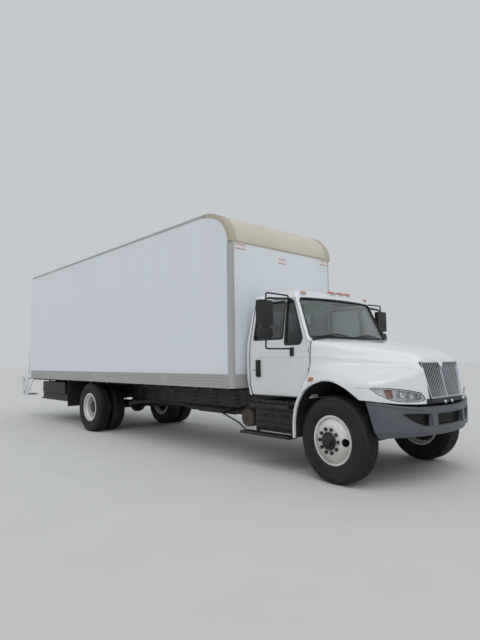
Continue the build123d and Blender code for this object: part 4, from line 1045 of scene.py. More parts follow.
@dataclass
class Hood:
    """Tilting hood with its fenders, flared lips, grille, headlamps and rear seal."""

    wall: float = 18.0
    arch: Line = ((608, 484), (598, 740), (536, 948), (395, 1124), (190, 1213), (60, 1224), (-70, 1202),
                  (-245, 1125), (-387, 1021))
    lip_outer: Line = ((640, 484), (630, 748), (566, 968), (418, 1152), (200, 1249), (60, 1261), (-80, 1240),
                       (-262, 1160), (-400, 1052))
    flare: tuple[float, float] = (1003.0, 1168.0)
    lamp: Line = ((1138, 1162), (1060, 1158), (930, 1148), (724, 1119), (560, 1086), (520, 1040), (492, 1008),
                  (560, 996), (640, 990), (760, 991), (878, 1000), (990, 1030), (1085, 1090))
    mouth: Line = ((-412, 1017), (412, 1017), (486, 1444), (60, 1444), (0, 1366), (-60, 1444), (-486, 1444))
    # station and height along the crease
    waist: Line = ((462, 1540), (300, 1530), (0, 1478), (-250, 1416), (-420, 1366))
    # height of the bars' foot and top, and of the point between the mouth's two upper halves
    bar_ends: tuple[float, float, float] = (1026.0, 1437.0, 1366.0)
    form: HoodForm = field(default_factory=HoodForm)

    def build(self) -> None:
        """All pieces of the hood."""
        for part in (self.shell, self.lips, self.lower_strip, self.rear_seal, self.crease, self.grille):
            part()
        for side in Side:
            self.headlamp(side)
            self.marker(side)

    def shell(self) -> None:
        """Painted shell with its arches, lamp openings and mouth cut out."""
        shell = walled(self.form.skin().made(sharp=28.0), self.wall / 1000.0, -1.0)
        tools = Piece("tools")
        for hand in (-1, 1):
            outline = [*smooth_line(self.arch), (-480, 960), (-480, 300), (608, 300)]
            tools.prism([at(hand * 640, s, z) for s, z in outline], Vector((hand * 0.6, 0, 0)))
            lamp = inset(rounded([(hand * x, z) for x, z in self.lamp], 30), -4.0)
            tools.prism([at(p.x, -980, p.y) for p in lamp], Vector((0, 0.68, 0)))
        tools.prism([at(x, -980, z) for x, z in self.mouth], Vector((0, 0.3, 0)))
        shown = dressed(shaded(carve(shell, tools.made()), 28.0), "body_white", "hood")
        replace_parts(shown, "hood")

    def lips(self) -> None:
        """Flared lips round the arches, running down behind the wheels, and the guards inside them."""
        inner, outer = (np.array(smooth_line(line)) for line in (self.arch, self.lip_outer))
        near, far = self.flare
        lip = ((near, 0.0), (far - 12, 0.0), (far - 3, 0.12), (far, 0.4), (far - 1, 0.8), (far - 9, 1.0), (near, 0.98))
        guard = ((700, -0.06), (near + 130, -0.06), (near + 130, -0.14), (700, -0.14))
        for name, ring, finish in (("fender_lips", lip, "body_white"), ("arch_liners", guard, "liner_black")):
            piece = Piece(name).loft([[at(-x, *(a + (b - a) * t)) for x, t in ring] for a, b in zip(inner, outer)])
            piece.twin().dress(finish, "hood", sharp=50)

    def lower_strip(self) -> None:
        """Black strip over the hood's lower front under the grille: partly a black valance, partly painted shade of the
        gap above the bumper.
        """
        layers = [self.form.front([(x, z) for x in range(-480, 481, 40)], back)
                  for z, back in ((957, -3.0), (1013, -3.0), (1013, 3.0), (957, 3.0))]
        # The strip stands partly for black plastic and partly for painted shade in the gap above the bumper.
        Piece("grille_valance").loft(list(zip(*layers))).dress("trim_black", "hood", 0.001)

    def crease(self) -> None:
        """Fine raised line along the waist, from the rear edge to the nose, lighter than the paint as a painted
        highlight, and the fender's seam.
        """
        stations = np.linspace(462, -420, 40)
        heights = curve([(-s, z) for s, z in self.waist], -stations)
        line = self.form.beside(list(zip(stations, heights)), 0.5, 1)
        # The crease line's colour is lighter than the paint: a painted highlight.
        Piece("hood_crease").tube(line, 0.0045, 8).twin().dress("crease_light", "hood")
        seam = [(s, 1166 + 0.02 * s) for s in np.linspace(-330, -640, 18)]
        Piece("fender_seam").tube(self.form.beside(seam, -0.5, 1), 0.003, 6).twin().dress("wall_seam", "hood")

    def rear_seal(self) -> None:
        """Dark gasket along the hood's rear edge."""
        middle = np.array((0.0, self.form.rear, 1250.0))
        rings = []
        for p in self.form.column(self.form.rear, 0.0)[6:]:
            inward = (middle - p) * (1, 0, 1)
            inward /= np.linalg.norm(inward)
            rings.append([at(*(p + inward * d + (0, s, 0))) for d, s in ((3, -6), (3, 7), (16, 7), (16, -6))])
        Piece("hood_gasket").loft(rings).twin().dress("trim_black", "hood")

    def grille(self) -> None:
        """Chromed frame with a black loop of painted shadow round it, curved upright bars and a dark screen behind
        them.
        """
        outline = rounded(self.mouth, 14, 3)
        frame = Piece("grille_frame")
        frame.stepped(outline, ((-3, 2), (-3, 14), (10, 16), (15, 4), (15, -14), (-3, -14)), self._on_face, True)
        frame.dress("grille_chrome", "hood", sharp=40)
        # Black loop round the mouth outside the chrome frame: painted shadow of the hood's overhang on the grille's
        # edge.
        seal = Piece("grille_seal").stepped(outline, ((-6, -4), (-6, 9), (-2, 11), (-2, -4)), self._on_face, True)
        seal.dress("hub_black", "hood")
        bars = Piece("grille_bars")
        foot, top, fork = self.bar_ends
        for k in (*range(-10, 0), *range(1, 11)):
            share = k / 10.6
            rings = []
            for t in (j / 14 for j in range(15)):
                z = foot + (top - foot) * t
                x = share * (398 + 74 * t) - math.copysign(14.0, k) * math.sin(math.pi * t) * (1 - abs(share)) * 1.6
                if z > fork - 15 + abs(x) * 1.3:
                    break
                rings.append(self._bar(x, z, ((-6, -6), (-4.5, 3), (0, 6), (4.5, 3), (6, -6))))
            if len(rings) > 2:
                bars.loft(rings)
        bars.dress("grille_chrome", "hood", sharp=30)
        rings = [self._bar(0, z, ((-12, -6), (-7, 15), (0, 19), (7, 15), (12, -6)))
                 for z in np.linspace(foot, fork + 6, 10)]
        Piece("grille_rib").loft(rings).dress("grille_chrome", "hood", sharp=30)
        screen = Piece("grille_screen").prism([self._on_face(p, -44) for p in inset(outline, 2.0)],
                                              Vector((0, 0.006, 0)))
        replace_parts(screen.dress("hub_black", "hood"), "grille")
        stops = Piece("hood_bumpers")
        for x in (-88, 88):
            stops.turned(aimed(at(x, self.rake(962) - 10, 962), TO_FRONT),
                         ((-6, 0), (-6, 22), (3, 25), (12, 20), (16, 8), (16, 0)), 16, False)
        stops.dress("grille_chrome", "hood")

    def rake(self, height: float) -> float:
        """Station of the grille's face at a height."""
        return -874.0 + (height - 1017.0) * (84.0 / 427.0)

    def _on_face(self, point: Vector, out: float) -> Vector:
        """Place on the grille's face, moved out of it."""
        return at(point.x, self.rake(point.y) - out, point.y)

    def _bar(self, x: float, height: float, profile: Sequence[Pair]) -> list[Vector]:
        """Ring of an upright bar from places across and distances out of the face."""
        return [self._on_face(Vector((x + across, height)), out) for across, out in profile]

    def headlamp(self, side: Side) -> None:
        """Headlamp: lens flush with the skin, dark bezel, reflectors, inner lamps and fins.

        Args:
            side: the truck's side.
        """
        hand = side.value
        outline = rounded([(hand * x, z) for x, z in self.lamp], 30)
        middle = Vector((hand * 800.0, 1062.0))

        def layer(amount: float, back: float) -> list[Vector]:
            """Outline pulled in by an amount and set back from the skin."""
            return self.form.front(inset(outline, amount), back)

        def fill(amount: float, back: float) -> list[list[Vector]]:
            """Rings from the outline to the middle, all on the skin set back."""
            base = inset(outline, amount)
            return [self.form.front([p.lerp(middle, k / 7 * 0.999) for p in base], back) for k in range(8)]

        lens = Piece(f"lamp_lens_{side}").loft(fill(2.0, 1.0), caps=False).made(sharp=60)
        dressed(shaded(walled(lens, 0.004), 60), "lamp_clear", "hood")
        for name, finish, steps in (("bezel", "trim_black", ((-3, 2), (4, 3), (4, 18), (-3, 18))),
                                    ("trim", "lamp_silver", ((5, 9), (13, 12), (15, 26), (6, 24)))):
            Piece(f"lamp_{name}_{side}").loft([layer(*step) for step in steps], loop=True).dress(finish, "hood")
        rings = [layer(5.0, 8.0), layer(9.0, 40.0), layer(20.0, 62.0), *fill(20.0, 62.0)[1:]]
        bowl = Piece(f"lamp_bowl_{side}").loft(rings, caps=False).made(recalc=False)
        dressed(shaded(walled(bowl, 0.003), 35), "lamp_silver", "hood")
        inner, bulbs = Piece(f"lamp_reflectors_{side}"), Piece(f"lamp_bulbs_{side}")
        for x, z, radius in ((690.0, 1052.0, 38.0), (808.0, 1068.0, 42.0)):
            aim = aimed(self.form.front([(hand * x, z)], 52)[0], TO_FRONT)
            inner.turned(aim, ((40, radius), (36, radius + 3), (20, radius - 4), (4, radius * 0.55), (0, 10), (2, 9),
                               (8, radius * 0.5), (22, radius - 8), (38, radius - 3)), 28)
            bulbs.turned(aim, ((0, 9), (22, 9), (30, 5), (31, 0)), 12, False)
        inner.dress("grille_chrome", "hood")
        bulbs.dress("label_plain", "hood")
        cover = rounded([(hand * x, z) for x, z in ((905, 1128), (985, 1136), (955, 1046), (900, 1024))], 14, 3)
        rings = [self.form.front(inset(cover, d), back) for d, back in ((0, 58), (0, 34), (6, 28), (20, 24))]
        Piece(f"lamp_turn_{side}").loft(rings).dress("lens_brown", "hood")
        fins = Piece(f"lamp_fins_{side}")
        for k in range(6):
            x, low, high = hand * (560 + 17 * k), 1002 - k, 1072 + 4 * k
            near, far = (self.form.front([(x, low), (x, high)], back) for back in (16, 56))
            fins.prism([*near, *reversed(far)], Vector((hand * 0.004, 0, 0)))
        fins.dress("grille_chrome", "hood")
        if side is Side.RIGHT:
            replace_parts(bowl, "headlamps")

    def marker(self, side: Side) -> None:
        """Small side marker lamp on the fender's rear flange.

        Args:
            side: the truck's side.
        """
        outline = oblong((270, 378), (1216, 1276), 12, 3)
        for name, finish, steps in (("marker_base", "label_plain", ((0, -20), (0, 8), (4, 11))),
                                    ("marker", "lens_orange", ((8, 4), (8, 22), (13, 27), (20, 29)))):
            rings = [self.form.beside(inset(outline, d), out, side.value) for d, out in steps]
            Piece(f"fender_{name}_{side}").loft(rings).dress(finish, "hood")


@dataclass
class Cab:
    """Seals, wipers, glass edges, handles, mirrors, lamps and the inside of the cab."""

    # columns: height, half width, station of the front at the side and at the centre
    rows: tuple[tuple[float, float, float, float], ...] = (
        (985, 975, 478, 470), (1200, 983, 478, 440), (1540, 988, 485, 400), (1745, 978, 500, 392),
        (2370, 890, 770, 650), (2440, 850, 790, 668))
    screen: Line = ((-925, 1775), (925, 1775), (845, 2350), (-845, 2350))
    vent: Line = ((640, 1700), (915, 1700), (925, 2315), (805, 2315), (598, 1775))
    pane: Line = ((955, 1785), (1535, 1785), (1500, 2320), (955, 2320))
    handle: tuple[float, float, float, float] = (1384, 1482, 1246, 1494)
    mirror_x: float = 1410.0
    seat_half: float = 244.0

    def half(self, height: float) -> float:
        """Half width of the cab at a height."""
        return float(np.interp(height, [r[0] for r in self.rows], [r[1] for r in self.rows]))

    def brow(self, x: float, height: float) -> float:
        """Station of the cab's front at a place across and a height."""
        side, middle = (float(np.interp(height, [r[0] for r in self.rows], [r[k] for r in self.rows])) for k in (2, 3))
        return middle + (side - middle) * (x / self.half(height)) ** 2

    def ahead(self, point: Any, out: float) -> Vector:
        """Place on the cab's front by a place across and a height, moved out of it."""
        x, height = point
        return at(x, self.brow(x, height) - out, height)

    def build(self) -> None:
        """All pieces of the cab."""
        for part in (self.screen_seal, self.wipers, self.roof_lamps, self.seats, self.fascia):
            part()
        for side in Side:
            self.door(side)
            self.mirror(side)

    def band(self, name: str, outline: Sequence[Vector], widths: Pair, depths: Pair, surface: Surface) -> Piece:
        """Flat ring along an opening: its edges inside the outline, its faces out of the surface."""
        (near, far), (low, high) = widths, depths
        return Piece(name).stepped(outline, ((near, low), (near, high), (far, high), (far, low)), surface, True)

    def screen_seal(self) -> None:
        """Rubber round the windscreen, the black border of the glass, and the rear window's rubber."""
        fine = densely(rounded(self.screen, 55, 6), 40.0)
        self.band("screen_rubber", fine, (-9, 11), (-14, 5), self.ahead).dress("trim_black", soften=0.002)
        self.band("screen_border", fine, (10, 26), (-13, -10.5), self.ahead).dress("hub_black")

        def behind(point: Vector, out: float) -> Vector:
            """Place on the cab's rear wall."""
            return at(point.x, np.interp(point.y, (1745, 2370), (1695, 1610)) + out, point.y)

        rear = oblong((-480, 480), (1915, 2245), 50, 5)
        self.band("rear_window_rubber", rear, (-14, 10), (-10, 6), behind).dress("trim_black", soften=0.002)
        rings = [[at(x, self.brow(x, 1760) + s, z) for s, z in ((-4, 1772), (-30, 1762), (-34, 1748), (6, 1744))]
                 for x in range(-900, 901, 60)]
        Piece("cowl_panel").loft(rings).dress("trim_black", soften=0.001)

    def wipers(self) -> None:
        """Two wipers at rest along the windscreen's base."""
        wipers = Piece("wipers")
        for pivot, tip in ((-130.0, -790.0), (640.0, -40.0)):
            way = tip - pivot
            root = self.ahead((pivot, 1782), 26)
            arm = [root, self.ahead((pivot + way * 0.45, 1838), 30), self.ahead((pivot + way * 0.62, 1826), 24)]
            wipers.tube(rounded(arm, 0.05, 4, False), 0.007, 8)
            wipers.tube([self.ahead((pivot + way * t, 1797 + 34 * math.sin(math.pi * t)), 12)
                         for t in np.linspace(0.12, 1.0, 12)], 0.009, 8)
            wipers.turned(aimed(root, TO_FRONT), ((-24, 0), (-24, 20), (4, 20), (10, 14), (10, 0)), 16, False)
        wipers.dress("trim_black")

    def roof_lamps(self) -> None:
        """Ribbed lenses and chromed bases of the five lamps."""
        bases, lenses = Piece("roof_lamp_bases"), Piece("roof_lamp_lenses")
        for x, s, z in ((0, 660, 2443), (-185, 664, 2443), (185, 664, 2443), (-750, 740, 2410), (750, 740, 2410)):
            for piece, length, wide, low, high in ((bases, 118, 54, -6, 7), (lenses, 104, 47, 6, 38)):
                rings = []
                for t in np.linspace(0, 1, 9):
                    rise = math.sin(math.pi * (0.12 + 0.8 * t)) ** 0.6
                    top = low + (high - low) * (rise if piece is lenses else 1.0)
                    spread = wide * (0.62 + 0.38 * rise)
                    rings.append([at(x + spread * a, s - 8 + length * t, z + b) for a, b in (
                        (-1, low), (-0.9, top * 0.8), (-0.45, top), (0.45, top), (0.9, top * 0.8), (1, low))])
                piece.loft(rings)
        bases.dress("grille_chrome")
        shown = lenses.dress("lens_orange", sharp=50)
        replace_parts(shown, "marker_lamps")

    def door(self, side: Side) -> None:
        """Rubbers of both panes, waist line, handle and lock of one door.

        Args:
            side: the truck's side.
        """
        hand, body = side.value, f"door_{side}"

        def beside(point: Vector, out: float) -> Vector:
            """Place on the door's skin."""
            return at(hand * (self.half(point.y) + out), point.x, point.y)

        for name, corners in (("vent", self.vent), ("pane", self.pane)):
            outline = densely(rounded(corners, 30, 5), 60.0)
            self.band(f"{name}_rubber_{side}", outline, (-13, 15), (-22, 3), beside).dress("trim_black", body, 0.002)
        guide = [beside(Vector(p), -16) for p in ((928, 1720), (946, 1720), (946, 2318), (928, 2318))]
        Piece(f"pane_guide_{side}").prism(guide, Vector((hand * 0.012, 0, 0))).dress("body_white", body, 0.002)
        rings = [[at(hand * (987 + out * fade), s, 1538 + rise)
                  for out, rise in ((-3, -15), (4, -5), (5, 0), (2, 12), (-3, 13))]
                 for s, fade in ((508, 0.3), (540, 1), (900, 1), (1300, 1), (1560, 0.7), (1590, 0.1))]
        Piece(f"waist_line_{side}").loft(rings).dress("body_white", body)
        low_s, high_s, low_z, high_z = self.handle
        frame = oblong((low_s, high_s), (low_z, high_z), 16, 4)
        pocket = Piece(f"handle_pocket_{side}")
        pocket.stepped(frame, ((0, -2), (0, 6), (4, 10), (12, 10), (15, 4), (30, 2)), beside)
        pocket.dress("trim_black", body)
        paddle = oblong((low_s + 9, low_s + 62), (low_z + 4, high_z - 4), 12, 4)
        grip = Piece(f"handle_grip_{side}")
        grip.stepped(paddle, ((3, 988), (0, 1000), (0, 1028), (4, 1034), (12, 1036)), abreast(hand))
        grip.dress("trim_black", body, sharp=50)
        lock = Piece(f"door_lock_{side}")
        lock.turned(aimed(at(hand * 984, 1520, 1350), 0 if side is Side.LEFT else math.pi),
                    ((-4, 0), (-4, 17), (5, 17), (8, 12), (6, 4), (6, 0)), 20, False)
        lock.dress("grille_chrome", body)

    def mirror(self, side: Side) -> None:
        """Mirror glass, the seam of its housings, the braces and the thick arm over it.

        Args:
            side: the truck's side.
        """
        hand, body, x = side.value, f"door_{side}", self.mirror_x
        glass, rims = Piece(f"mirror_panes_{side}"), Piece(f"mirror_rims_{side}")

        def upright(point: Vector, station: float) -> Vector:
            """Place on an upright plane across the truck."""
            return at(hand * point.x, station, point.y)

        for z, width, height, corner in ((2117, 236, 311, 26), (1840, 228, 136, 52)):
            frame = oblong((x - width / 2, x + width / 2), (z - height / 2, z + height / 2), corner, 6)
            glass.stepped(frame, ((4, 896), (4, 902.5), (9, 903)), upright)
            rims.stepped(frame, ((-8, 899), (-8, 904), (-4, 907), (4, 906), (5, 900)), upright, True)
        glass.dress("mirror_glass", body)
        rims.dress("trim_black", body)
        arm = Piece(f"mirror_arm_{side}")
        arm.loft([[at(hand * px, s + a, z + b) for a, b in ((-9, -w), (9, -w), (9, w), (-9, w))] for px, s, z, w in
                  ((905, 872, 2322, 13), (960, 868, 2336, 15), (1150, 866, 2322, 17), (1330, 866, 2318, 14),
                   (1372, 868, 2300, 9))])
        arm.slab((hand * 1376, hand * 1404), (853, 886), (1930, 2300))
        arm.slab((hand * 1340, hand * 1440), (846, 894), (1916, 1954))
        arm.dress("trim_black", body, 0.003)
        foot = rounded([(742, 1540), (800, 1540), (800, 1640), (776, 1662), (742, 1655)], 10, 3)
        brace = Piece(f"mirror_brace_{side}")
        brace.stepped(foot, ((0, 984), (0, 1004), (5, 1014), (14, 1018)), abreast(hand)).dress("trim_black", body)

    def seats(self) -> None:
        """Cushions and backs with crowned fronts, side bolsters and sewn channels."""
        for side in Side:
            middle = side.value * 480.0
            self.cushion(f"seat_cushion_{side}", middle, ((985, 1330), (1425, 1305)), 88)
            self.cushion(f"seat_back_{side}", middle, ((1437, 1330), (1538, 2040)), 84)
            base = Piece(f"seat_base_{side}").slab((middle - 190, middle + 190), (1075, 1420), (1036, 1290))
            base.dress("cabin_grey", soften=0.02)
        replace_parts(bpy.data.objects["seat_cushion_left"], "seats")

    def cushion(self, name: str, x: float, ends: tuple[Pair, Pair], thick: float) -> None:
        """One padded form between two ends of its middle line.

        Args:
            name: name of the piece.
            x: its middle across.
            ends: station and height of the middle line's two ends.
            thick: its thickness.
        """
        start, end = (Vector(p) for p in ends)
        along = (end - start).normalized()
        out = Vector((-along.y, along.x)) * thick
        rings = []
        columns, rows = 60, 26
        for t in (j / rows for j in range(rows + 1)):
            full = max(1.0 - abs(2 * t - 1) ** 6, 0.0) ** 0.5
            ring = []
            for a in (2 * math.pi * k / columns for k in range(columns)):
                u = math.copysign(abs(math.cos(a)) ** 0.42, math.cos(a))
                v = math.copysign(abs(math.sin(a)) ** 0.55, math.sin(a))
                relief = 0.0
                if v > 0:
                    bolster = 0.26 * max(abs(u) - 0.62, 0) / 0.38
                    channel = 0.10 * math.exp(-((abs(u) - 0.60) / 0.05) ** 2)
                    row = 0.07 * math.exp(-(((t * 4) % 1 - 0.5) / 0.08) ** 2) if abs(u) < 0.6 else 0.0
                    relief = bolster - channel - row + 0.10 * (1 - u * u)
                seam = 0.03 * math.exp(-(v / 0.12) ** 2)
                place = start.lerp(end, t) + out * (v * (0.5 + relief) * full)
                ring.append(at(x + self.seat_half * u * (0.93 + 0.07 * full - seam), place.x, place.y))
            rings.append(ring)
        made = Piece(name).loft(rings).dress("seat_cloth", sharp=70)

    def fascia(self) -> None:
        """Hood over the dials, and the dials on the dashboard."""
        rings = []
        for t in np.linspace(0, 1, 12):
            rise = 60 * math.sin(math.pi * t) ** 0.5
            rings.append([at(250 + 460 * t, s, z + rise * share) for s, z, share in (
                (560, 1708, 0), (640, 1712, 1), (735, 1706, 0.9), (745, 1690, 0.8), (700, 1690, 0))])
        Piece("dial_hood").loft(rings).dress("cabin_grey")
        dials = Piece("dials")
        for x in (330, 420, 540, 630):
            dials.turned(aimed(at(x, 742, 1645), TO_REAR),
                         ((-6, 0), (-6, 42), (6, 42), (7, 38), (2, 36), (2, 0)), 24, False)
        dials.dress("trim_black")


@dataclass
class Assembly:
    """Sub-assembly that sets small shapes by the patterns of round heads and of blocks."""

    heads: Pattern
    blocks: Pattern


@dataclass
class Wheels(Assembly):
    """Tyres with treads, steel rims with hand holes, hubs and nuts."""

    hub_height: float = 515.0
    rest_steer: float = 5.2
    pin_x: float = 880.0
    front_x: float = 1030.0
    rear_axle: float = 6470.0
    disc_front: float = 165.0
    nut_circle: float = 142.875
    dual: tuple[float, float, float] = (1083.0, 740.0, 911.5)
    # half of a tyre's outline: distance from its middle and radius
    wall: Line = ((101, 286), (106, 303), (121, 318), (131, 345), (136.5, 368), (133.5, 374), (138, 384), (138, 408),
                  (136, 432), (131, 452), (127, 462), (121, 478), (116, 495), (109, 506), (98, 512.5))
    grooves: Line = ((66, 54), (26, 14))
    # lugs round a tyre; their distance from its middle and from its axis, in metres; their lean
    lugs: int = 64
    lug_place: Pair = (0.113, 0.4935)
    lug_lean: float = math.radians(53.2)

    def frame(self, hand: int) -> Matrix:
        """Place of a front wheel: its first axis points outward."""
        out = Matrix.Rotation(math.radians(-self.rest_steer), 3, "Z") @ Vector((hand, 0, 0))
        return outward(at(hand * self.pin_x, 0, self.hub_height) + out * (self.front_x - self.pin_x) / 1000.0, out)

    def straight(self, hand: int, x: float) -> Matrix:
        """Place of a rear wheel or disc at a distance from the middle of the truck."""
        return outward(at(hand * x, self.rear_axle, self.hub_height), Vector((hand, 0, 0)))

    def build(self) -> None:
        """All wheels."""
        outer, inner, _ = self.dual
        for side in Side:
            hand = side.value
            place = self.frame(hand)
            self.tyres("front", side, [place], f"front_tyre_{side}")
            self.front_rim(place, side)
            self.tyres("rear", side, [self.straight(hand, outer), self.straight(hand, inner)], f"rear_tyres_{side}")
            self.rear_rim(side)

    def tyres(self, end: str, side: Side, places: Sequence[Matrix], node: str) -> None:
        """Carcasses with ribs and grooves, and the lugs on their shoulders.

        Args:
            end: "front" or "rear".
            side: the truck's side.
            places: place of each tyre.
            node: CAD node that they replace.
        """
        half = [*self.wall]
        for outer, inner in self.grooves:
            half += [(outer, 514.6), (outer - 1.5, 503), (inner + 1.5, 503), (inner, 514.8)]
        profile = [*half, *[(-x, r) for x, r in reversed(half)], (-92, 284), (92, 284)]
        name, body = f"{end}_tyre_mesh_{side}", f"wheel_{end}_{side}"
        carcass, lugs = Piece(name), []
        out, radius = self.lug_place
        for place in places:
            carcass.turned(place, profile, 96)
            lugs += [spun(place, 2 * math.pi * k / self.lugs, way * out, radius, way * self.lug_lean)
                     for k in range(self.lugs) for way in (1, -1)]
        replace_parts(carcass.dress("tyre_rubber", body, sharp=28), node)
        self.blocks.spread(f"{name}_lugs", lugs, {"Size": (0.026, 0.030, 0.017)}, "tyre_rubber", body)

    def rim(self, whole: Piece, place: Matrix, hole: tuple[float, ...], steps: int, body: str, node: str) -> None:
        """Cuts the two hand holes of a disc and finishes the rim.

        Args:
            whole: the rim and its disc.
            place: the disc's place.
            hole: first distance along the axis, depth, distance from the axis, half width and half height of
                a hole, in metres.
            steps: points round a hole.
            body: body that carries the rim.
            node: CAD node that it replaces.
        """
        near, deep, radius, wide, high = hole
        holes = Piece("holes")
        for turn in (90.0, 270.0):
            spin = place @ Matrix.Rotation(math.radians(turn), 4, "X")
            holes.loft([[spin @ Vector((out, math.cos(a) * wide, radius + math.sin(a) * high))
                         for a in (2 * math.pi * k / steps for k in range(steps))] for out in (near, near + deep)])
        shown = dressed(shaded(carve(whole.made(sharp=30), holes.made()), 30), "wheel_white", body)
        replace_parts(shown, node)

    def front_rim(self, place: Matrix, side: Side) -> None:
        """Steel rim whose disc bulges outward, drum, black hub and nuts.

        Args:
            place: the wheel's place.
            side: the truck's side.
        """
        face, body = self.disc_front, f"wheel_front_{side}"
        rim = Piece(f"front_rim_mesh_{side}")
        rim.turned(place, ((-116, 272), (-116, 298), (-108, 299), (-102, 285), (-60, 281), (-45, 251), (30, 251),
                           (60, 281), (101, 285), (106, 299), (113, 300), (117, 296), (115, 274), (104, 270),
                           (88, 268), (92, 262), (108, 250), (130, 234), (146, 214), (158, 192), (face, 182),
                           (face, 60), (face - 12, 60), (face - 12, 178), (144, 190), (120, 222), (78, 240),
                           (52, 237), (-52, 237), (-70, 268)), 72)
        self.rim(rim, place, (0.045, 0.17, 0.220, 0.050, 0.037), 24, body, f"front_rim_{side}")
        hub = Piece(f"front_hub_{side}")
        hub.turned(place, ((-95, 186), (-95, 205), (20, 205), (20, 233), (34, 233), (40, 205), (60, 205),
                           (face - 30, 172), (face - 12, 168), (face - 12, 61), (face + 2, 61), (face + 2, 108),
                           (face + 16, 107), (face + 22, 100), (face + 23, 74), (face + 34, 68), (face + 54, 63),
                           (face + 61, 52), (face + 62, 30), (face + 60, 0), (face - 100, 0), (face - 100, 150)), 48)
        hub.dress("hub_black", body, sharp=30)
        self.nuts(f"front_nuts_{side}", place, face, 10, self.nut_circle, (0.024, 0.028), body)
        self.nuts(f"hub_bolts_{side}", place, face + 22, 8, 87.0, (0.007, 0.012), body)

    def nuts(self, name: str, place: Matrix, out: float, count: int, circle: float, size: Pair, body: str) -> None:
        """Ring of nuts with the ends of their studs.

        Args:
            name: name of the nuts' piece.
            place: the wheel's place.
            out: distance of the nuts' seat along the axis, in millimetres.
            count: how many there are.
            circle: radius of the ring, in millimetres.
            size: radius and height of a nut, in metres.
            body: body that carries them.
        """
        radius, height = size
        nuts, studs = ([spun(place, 2 * math.pi * (k + 0.5) / count, out / 1000 - sunk, circle / 1000)
                        for k in range(count)] for sunk in (0.002, 0.0))
        self.heads.spread(name, nuts, head(radius, height, 0.86, 6), "hub_black", body, 25)
        self.heads.spread(f"{name}_studs", studs, head(radius * 0.5, height * 1.35, 0.9, 10), "steel_grey", body)

    def rear_rim(self, side: Side) -> None:
        """Two rims back to back with their discs, the drum, the deep hub and its nuts.

        Args:
            side: the truck's side.
        """
        hand, body = side.value, f"wheel_rear_{side}"
        outer, inner, disc = self.dual
        rims = Piece(f"rear_rim_mesh_{side}")
        depth = outer - disc
        for x, way in ((outer, 1), (inner, -1)):
            rims.turned(self.straight(hand, x), [(way * out, radius) for out, radius in (
                (116, 272), (117, 296), (113, 300), (106, 299), (101, 285), (60, 281), (45, 251), (-30, 251),
                (-60, 281), (-101, 285), (-108, 299), (-116, 298), (-115, 274), (-100, 268), (-70, 262),
                (-120, 250), (-146, 222), (7 - depth, 188), (7 - depth, 112), (-depth, 112), (-depth, 178),
                (-140, 208), (-110, 238), (-52, 237), (52, 237), (70, 268))], 72)
        place = self.straight(hand, disc)
        self.rim(rims, place, (-0.07, 0.14, 0.216, 0.040, 0.026), 18, body, f"rear_rims_{side}")
        hub = Piece(f"rear_hub_{side}")
        hub.turned(place, ((-245, 196), (-245, 215), (-40, 215), (-13, 180), (-13, 110), (12, 110), (12, 112),
                           (30, 110), (60, 104), (150, 98), (180, 95), (186, 112), (204, 112), (212, 104),
                           (214, 74), (222, 66), (224, 20), (224, 0), (-230, 0), (-230, 80), (-60, 90),
                           (-60, 190)), 48)
        hub.dress("hub_black", body, sharp=30)
        self.nuts(f"rear_nuts_{side}", place, 13, 10, self.nut_circle, (0.0195, 0.026), body)
        self.nuts(f"axle_bolts_{side}", place, 212, 8, 92.0, (0.009, 0.014), body)


